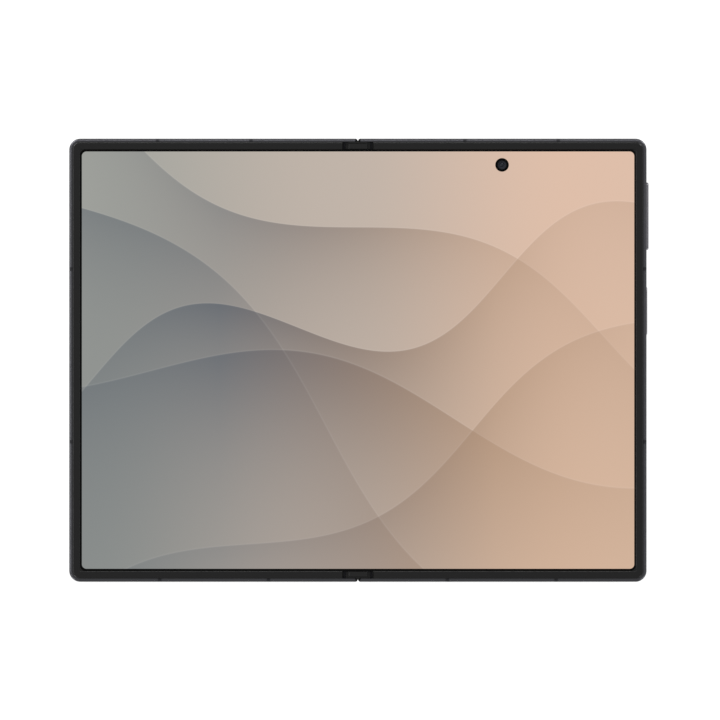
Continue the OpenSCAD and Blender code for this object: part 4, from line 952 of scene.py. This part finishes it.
def spaced(centre, count, pitch):
    """Places in a row about a centre."""
    return [centre + (k - (count - 1) / 2) * pitch for k in range(count)]


def sound_disc(x, side):
    """A gauze disc that closes a sound hole in the top (side 1) or bottom (side -1) wall."""
    depth = side * (HALF_H - GAUZE_DEPTH)
    return plate("disc", lambda inset: ring((x, EDGE_Z), HOLE_R - inset, 32),
                 quarter(0.05 * MM, depth - side * 0.2 * MM, depth), swap=(0, 2, 1))


def woven_gauze(name):
    """Fine black steel gauze: two sets of wires that cross, with the gaps between them sunk and painted
    dark, painted shade of the hollow behind.
    """
    graph = Graph(name)
    across, _, up = graph.axes()
    waves = [graph.math("ABSOLUTE", graph.wave(place, 180 * MICRON)) for place in (across, up)]
    gap = graph.math("MULTIPLY_ADD", graph.math("MULTIPLY", *waves), 3.0, -1.0, clamp=True)
    graph.bump(gap, -20 * MICRON, 0.8)
    # the gaps are painted near black: painted shade
    return graph.set(base_color=graph.mix(gap, tone(74, 74, 77), tone(8, 8, 8)), metallic=0.8,
                     roughness=0.4)


class PHONE_OT_bezel_ends(bpy.types.Operator):
    """Build the bezels' low end lips, which turn down beside the hinge caps"""
    bl_idname = "phone.bezel_ends"
    bl_label = "Bezel Ends"

    def execute(self, context):
        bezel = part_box("main_bezel")[0]
        frame_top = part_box("main_frame")[1]
        soft = moulded_plastic("bezel_lip", tuple(context.scene.phone_body.bezel), 0.5, shine=0.08)
        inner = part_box("display_fold")[1].y + 0.06 * MM
        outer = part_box("main_bezel")[1].y - 0.03 * MM
        for side, body in ((1, "main_half"), (-1, "cover_half")):
            lips = []
            for end in (1, -1):
                xs = sorted((side * (bezel.x - 0.33 * MM), side * (bezel.x - 0.01 * MM)))
                ys = sorted((end * inner, end * outer))
                lips.append(plate("lip", lambda inset: rounded((xs[0], ys[0]), (xs[1], ys[1]),
                                                               [0.1 * MM] * 4, inset),
                                  quarter(0.09 * MM, bezel.z, frame_top.z - 0.1 * MM)))
            dress(joined(f"bezel_lips_{body}", lips), soft, body, "bezel_plastic")
        return {"FINISHED"}


CABLE_T = 0.15 * MM
CABLE_RAMP = (2.0 * MM, 3.3 * MM)        # from the hinge line to the ramp's foot and to its top


class PHONE_OT_hinge_cable(bpy.types.Operator):
    """Build the flat cable that crosses the hinge, in two halves"""
    bl_idname = "phone.hinge_cable"
    bl_label = "Hinge Cable"

    def execute(self, context):
        low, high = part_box("hinge_flex_cable")
        film = flex_film("cable_film")
        for side, body in ((1, "main_half"), (-1, "cover_half")):
            strip = ribbon(f"hinge_cable_{body}", cable_path(side, low, high), (low.y, high.y), CABLE_T)
            dress(strip, film, None, "flex_amber", "hinge_flex_cable")
            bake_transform(strip)
        return {"FINISHED"}


def cable_path(side, low, high):
    """Middle line of half the cable, as (x, z): level over the spine's floor, up past its axis and
    level again in the half: z = bottom + rise * (3 t^2 - 2 t^3), t being the share of the ramp
    passed."""
    x = np.linspace(0, high.x, 80)
    t = np.clip((x - CABLE_RAMP[0]) / (CABLE_RAMP[1] - CABLE_RAMP[0]), 0, 1)
    z = low.z + CABLE_T / 2 + (high.z - low.z - CABLE_T) * (3 * t ** 2 - 2 * t ** 3)
    return np.column_stack([side * x, z])


def ribbon(name, path, ys, thick):
    """A flat band: the section of a path (x, z) thickened up and down by half of thick, and
    carried from one y to the other."""
    offset = np.array([0, thick / 2])
    loop = np.concatenate([path - offset, (path + offset)[::-1]])
    size = len(loop)
    points = np.concatenate([np.column_stack([loop[:, 0], np.full(size, y), loop[:, 1]]) for y in ys])
    faces = lattice(2, size, True).tolist()
    half = size // 2
    for base in (0, size):
        lower = np.arange(half) + base
        upper = (size - 1 - np.arange(half)) + base
        faces += np.stack([lower[:-1], lower[1:], upper[1:], upper[:-1]], axis=-1).tolist()
    return as_piece(name, points, faces, bends=True)


def flex_film(name):
    """Amber polyimide film with rows of copper tracks under it."""
    graph = Graph(name)
    track = graph.step(graph.wave(graph.axes()[1], 0.4 * MM), 0.25)
    colours = graph.mix(track, tone(176, 112, 42), tone(196, 138, 72))
    graph.bump(track, 8 * MICRON, 0.5)
    return graph.set(base_color=colours, roughness=0.32, specular_ior_level=0.45)


# ------------------------------------------------------------------- finishes of the frame's nodes

def circuit_board(name):
    """Green solder mask over a maze of tracks."""
    graph = Graph(name)
    cells = graph.add("TexVoronoi", {"Vector": graph.place(), "Scale": 1 / (1.1 * MM)},
                      feature="F1", distance="CHEBYCHEV")
    track = graph.math("MULTIPLY_ADD", cells.outputs["Distance"], 9.0, -4.0, clamp=True)
    colours = graph.mix(track, tone(22, 70, 48), tone(34, 98, 62))
    graph.bump(track, 15 * MICRON, 0.5)
    return graph.set(base_color=colours, roughness=0.35, coat_weight=0.3, coat_roughness=0.15)


def wound_copper(name, centre):
    """Flat wound copper wire: fine rings about the coil's axis, darker in the grooves between turns, which
    is painted shade.
    """
    graph = Graph(name)
    wire = graph.math("MULTIPLY_ADD", graph.wave(graph.radius(centre), 0.45 * MM), 0.5, 0.5)
    graph.bump(wire, 60 * MICRON, 0.8)
    # the grooves between turns get the darker copper: painted shade
    colours = graph.mix(wire, tone(118, 62, 36), tone(190, 112, 70))
    return graph.set(base_color=colours, metallic=1.0, roughness=0.3)


def wrapped_foil(name):
    """A battery cell's dark wrap, faintly wrinkled."""
    graph = Graph(name)
    wrinkle = graph.noise(5 * MM, detail=5.0, rough=0.6)
    graph.bump(wrinkle, 60 * MICRON, 0.5)
    return graph.set(base_color=varied(graph, tone(52, 53, 56), 0.1, 9 * MM), metallic=0.35,
                     roughness=graph.about(wrinkle, 0.42, 0.08))


BRUSHED = {              # slot: the metal's tone as it is seen and its roughness
    "shield_metal": ((168, 168, 166), 0.32),
    "port_steel": ((150, 150, 152), 0.3),
    "motor_steel": ((160, 160, 162), 0.3),
    "screw_steel": ((120, 120, 124), 0.3),
    "gear_bronze": ((158, 130, 86), 0.34),
    "spring_steel": ((176, 177, 181), 0.25),
}


def finishes(body):
    """The material of each slot in the record that the frame's own nodes keep."""
    made = {slot: brushed_metal(slot, tone(*seen), rough) for slot, (seen, rough) in BRUSHED.items()}
    # the spine cover's top, seen down the slots beside the hinge caps, is painted dark above this height:
    # painted shade
    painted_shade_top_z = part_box("spine_cover")[1].z - 0.25 * MM
    return made | {
        "frame_metal": blasted_metal("frame_metal", tuple(body.metal), body.metal_rough),
        "tray_metal": blasted_metal("tray_metal", tuple(body.metal), body.metal_rough),
        "island_metal": blasted_metal("island_metal", tone(72, 73, 78), 0.42),
        # the keys' lighter metal carries a painted highlight
        "key_metal": blasted_metal("side_key_metal", tuple(body.key_metal), 0.34),
        # spine metal with painted shade on its top
        "spine_metal": blasted_metal("spine_metal", tone(76, 77, 82), 0.36, 1.5 * MICRON,
                                     tone(33, 33, 36), painted_shade_top_z),
        "hinge_steel": brushed_metal("hinge_steel", tone(150, 151, 155), 0.3, (1.0, 0.05, 1.0)),
        "break_plastic": moulded_plastic("break_plastic", tuple(body.breaks), 0.5, shine=0.12),
        "bezel_plastic": moulded_plastic("bezel_plastic", tuple(body.bezel), 0.30, 90 * MICRON, 0.19),
        "cap_plastic": moulded_plastic("cap_plastic", tone(14, 14, 14), 0.30, 90 * MICRON, 0.19),
        "display_cover": moulded_plastic("panel_side", tone(16, 16, 17), 0.5),
        "cover_glass": moulded_plastic("glass_side", tone(16, 16, 17), 0.3),
        "module_black": moulded_plastic("module_black", tone(26, 26, 28), 0.5),
        "camera_black": moulded_plastic("camera_black", tone(20, 20, 22), 0.45),
        "rear_glass": frosted_glass("rear_glass", tuple(body.rear)),
        "battery_foil": wrapped_foil("battery_foil"),
        "board_green": circuit_board("board_green"),
        "coil_copper": wound_copper("coil_copper", axis("charging_coil")),
        "flex_amber": flex_film("switch_film"),
    }


class PHONE_OT_finishes(bpy.types.Operator):
    """Give every node that the frame keeps its finish"""
    bl_idname = "phone.finishes"
    bl_label = "Finishes"

    def execute(self, context):
        made = finishes(context.scene.phone_body)
        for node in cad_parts.values():
            for place in node.material_slots:
                place.material = made.get(place.material.name, place.material)
        return {"FINISHED"}


# -------------------------------------------------------------------------------------- the stage

FLOOR_GLOW = 0.94            # how white the floor looks to the camera, 1 being white
FLOOR_GREY = 0.2             # how much of the lamps' light, and so of the shadow, it shows
SHADE_REACH = 6 * MM         # how far the floor looks for the phone above it when it paints its contact shadow


class PHONE_OT_stage(bpy.types.Operator):
    """Build the floor, the lamps, the world and the camera"""
    bl_idname = "phone.stage"
    bl_label = "Stage"

    def execute(self, context):
        look = context.scene.phone_stage
        lay_floor(look)
        hang_lamps(look)
        light_world(context.scene, look)
        camera = bpy.data.objects.new("phone_camera", bpy.data.cameras.new("phone_camera"))
        context.scene.collection.objects.link(camera)
        context.scene.camera = camera
        camera.data.lens = look.focal
        away = look.view_w * look.focal / camera.data.sensor_width
        camera.location = (look.aim_x, look.aim_y, SCREEN_Z + away)
        camera.data.clip_start, camera.data.clip_end = away / 100, away * 20
        context.scene.view_settings.view_transform = "Standard"
        return {"FINISHED"}


def lay_floor(look):
    """A pale floor that touches the camera rings and the left back edge, on which the phone lies:
    its height changes from the rings by the distance across times the tilt's tangent."""
    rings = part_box("camera_lens_rings")[0]
    tilt = math.atan2(BACK_Z, rings.x + HALF_W)
    half = look.floor_w / 2
    corners = [(-half, -half), (half, -half), (half, half), (-half, half)]
    points = [(x, y, rings.z - (x - rings.x) * math.tan(tilt) - 0.02 * MM) for x, y in corners]
    floor = as_piece("floor", points, [[0, 1, 2, 3]])
    graph = Graph("floor_paper")
    paper = graph.set(base_color=(0.8, 0.8, 0.8), roughness=0.9)
    # painted contact shadow: the floor's glow is dimmed by ambient occlusion where the phone is near above
    # it
    ao_for_painted_shadow = graph.add("AmbientOcclusion", {"Distance": SHADE_REACH}).outputs["AO"]
    strength = graph.math("MULTIPLY", graph.math("MULTIPLY", ao_for_painted_shadow, 8.0, clamp=True), FLOOR_GLOW)
    glow = graph.add("Emission", {"Color": (1.0, 1.0, 1.0), "Strength": strength})
    soft = graph.add("BsdfDiffuse", {"Color": (FLOOR_GREY, FLOOR_GREY, FLOOR_GREY)})
    bright = graph.add("AddShader", {0: glow.outputs[0], 1: soft.outputs[0]})
    seen = seen_ray(graph)
    blend = graph.add("MixShader", {0: seen, 1: graph.shader.outputs[0], 2: bright.outputs[0]})
    graph.put(graph.out.inputs["Surface"], blend.outputs[0])
    floor.data.materials.append(paper)


def seen_ray(graph):
    """1 for rays from the camera and for mirrored and refracted rays."""
    path = graph.add("LightPath")
    shown = graph.math("MAXIMUM", path.outputs["Is Camera Ray"], path.outputs["Is Glossy Ray"])
    return graph.math("MAXIMUM", shown, path.outputs["Is Transmission Ray"])


def light_world(scene, look):
    """A white world where it is seen, and a soft grey one where it lights."""
    world = bpy.data.worlds.new("studio")
    scene.world = world
    world.use_nodes = True
    tree = world.node_tree
    back = tree.nodes["Background"]
    back.inputs["Color"].default_value = (1.0, 1.0, 1.0, 1.0)
    path = tree.nodes.new("ShaderNodeLightPath")
    shown = path.outputs["Is Camera Ray"]
    for kind in ("Is Glossy Ray", "Is Transmission Ray"):
        largest = tree.nodes.new("ShaderNodeMath")
        largest.operation = "MAXIMUM"
        tree.links.new(shown, largest.inputs[0])
        tree.links.new(path.outputs[kind], largest.inputs[1])
        shown = largest.outputs[0]
    strength = tree.nodes.new("ShaderNodeMapRange")
    tree.links.new(shown, strength.inputs["Value"])
    strength.inputs["To Min"].default_value = look.world
    strength.inputs["To Max"].default_value = 1.0
    tree.links.new(strength.outputs[0], back.inputs["Strength"])


def hang_lamps(look):
    """Soft boxes past the top, left and right edges, and lower ones past the four corners, which run
    a highlight along the frame's rounded rim and a brighter one round its corners."""
    wide, narrow = look.lamp_l, look.lamp_l / 2
    for name, azimuth, power, up, size in (
            ("top_lamp", 90, look.top, look.lamp_up, wide),
            ("left_lamp", 180, look.left, look.lamp_up, wide),
            ("right_lamp", 0, look.right, look.lamp_up, wide),
            ("top_left_lamp", 135, look.top_left, look.corner_up, wide),
            ("top_right_lamp", 45, look.top_right, look.corner_up, narrow),
            ("low_left_lamp", 225, look.low_left, look.corner_up, narrow),
            ("low_right_lamp", 315, look.low_right, look.corner_up, narrow)):
        lamp = bpy.data.objects.new(name, bpy.data.lights.new(name, "AREA"))
        bpy.context.scene.collection.objects.link(lamp)
        lamp.data.shape = "RECTANGLE"
        lamp.data.size, lamp.data.size_y = size, look.lamp_w
        lamp.data.energy = power
        turn, rise = math.radians(azimuth), math.radians(up)
        aim = Vector((math.cos(turn) * math.cos(rise), math.sin(turn) * math.cos(rise),
                      math.sin(rise)))
        lamp.location = look.lamp_far * aim
        lamp.rotation_euler = aim.to_track_quat("Z", "Y").to_euler()


class PHONE_PT_panel(bpy.types.Panel):
    """Lists the builders of the phone's pieces"""
    bl_idname = "PHONE_PT_panel"
    bl_label = "Folding Phone"
    bl_space_type = "VIEW_3D"
    bl_region_type = "UI"
    bl_category = "Phone"

    def draw(self, context):
        for kind in OPERATORS:
            self.layout.operator(kind.bl_idname)


OPERATORS = [PHONE_OT_finishes, PHONE_OT_inner_screen, PHONE_OT_inner_camera,
             PHONE_OT_rear_cameras, PHONE_OT_flash, PHONE_OT_cover_screen, PHONE_OT_side_keys,
             PHONE_OT_port_trims, PHONE_OT_bezel_ends, PHONE_OT_hinge_cable, PHONE_OT_stage]


def register():
    for kind in (*GROUPS.values(), *OPERATORS, PHONE_PT_panel):
        bpy.utils.register_class(kind)
    for name, kind in GROUPS.items():
        setattr(bpy.types.Scene, name, PointerProperty(type=kind))


def unregister():
    for name in GROUPS:
        delattr(bpy.types.Scene, name)
    for kind in (PHONE_PT_panel, *reversed(OPERATORS), *reversed(GROUPS.values())):
        bpy.utils.unregister_class(kind)


def main():
    """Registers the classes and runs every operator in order."""
    register()
    for kind in OPERATORS:
        module, call = kind.bl_idname.split(".")
        getattr(getattr(bpy.ops, module), call)()


if __name__ == "__main__":
    main()
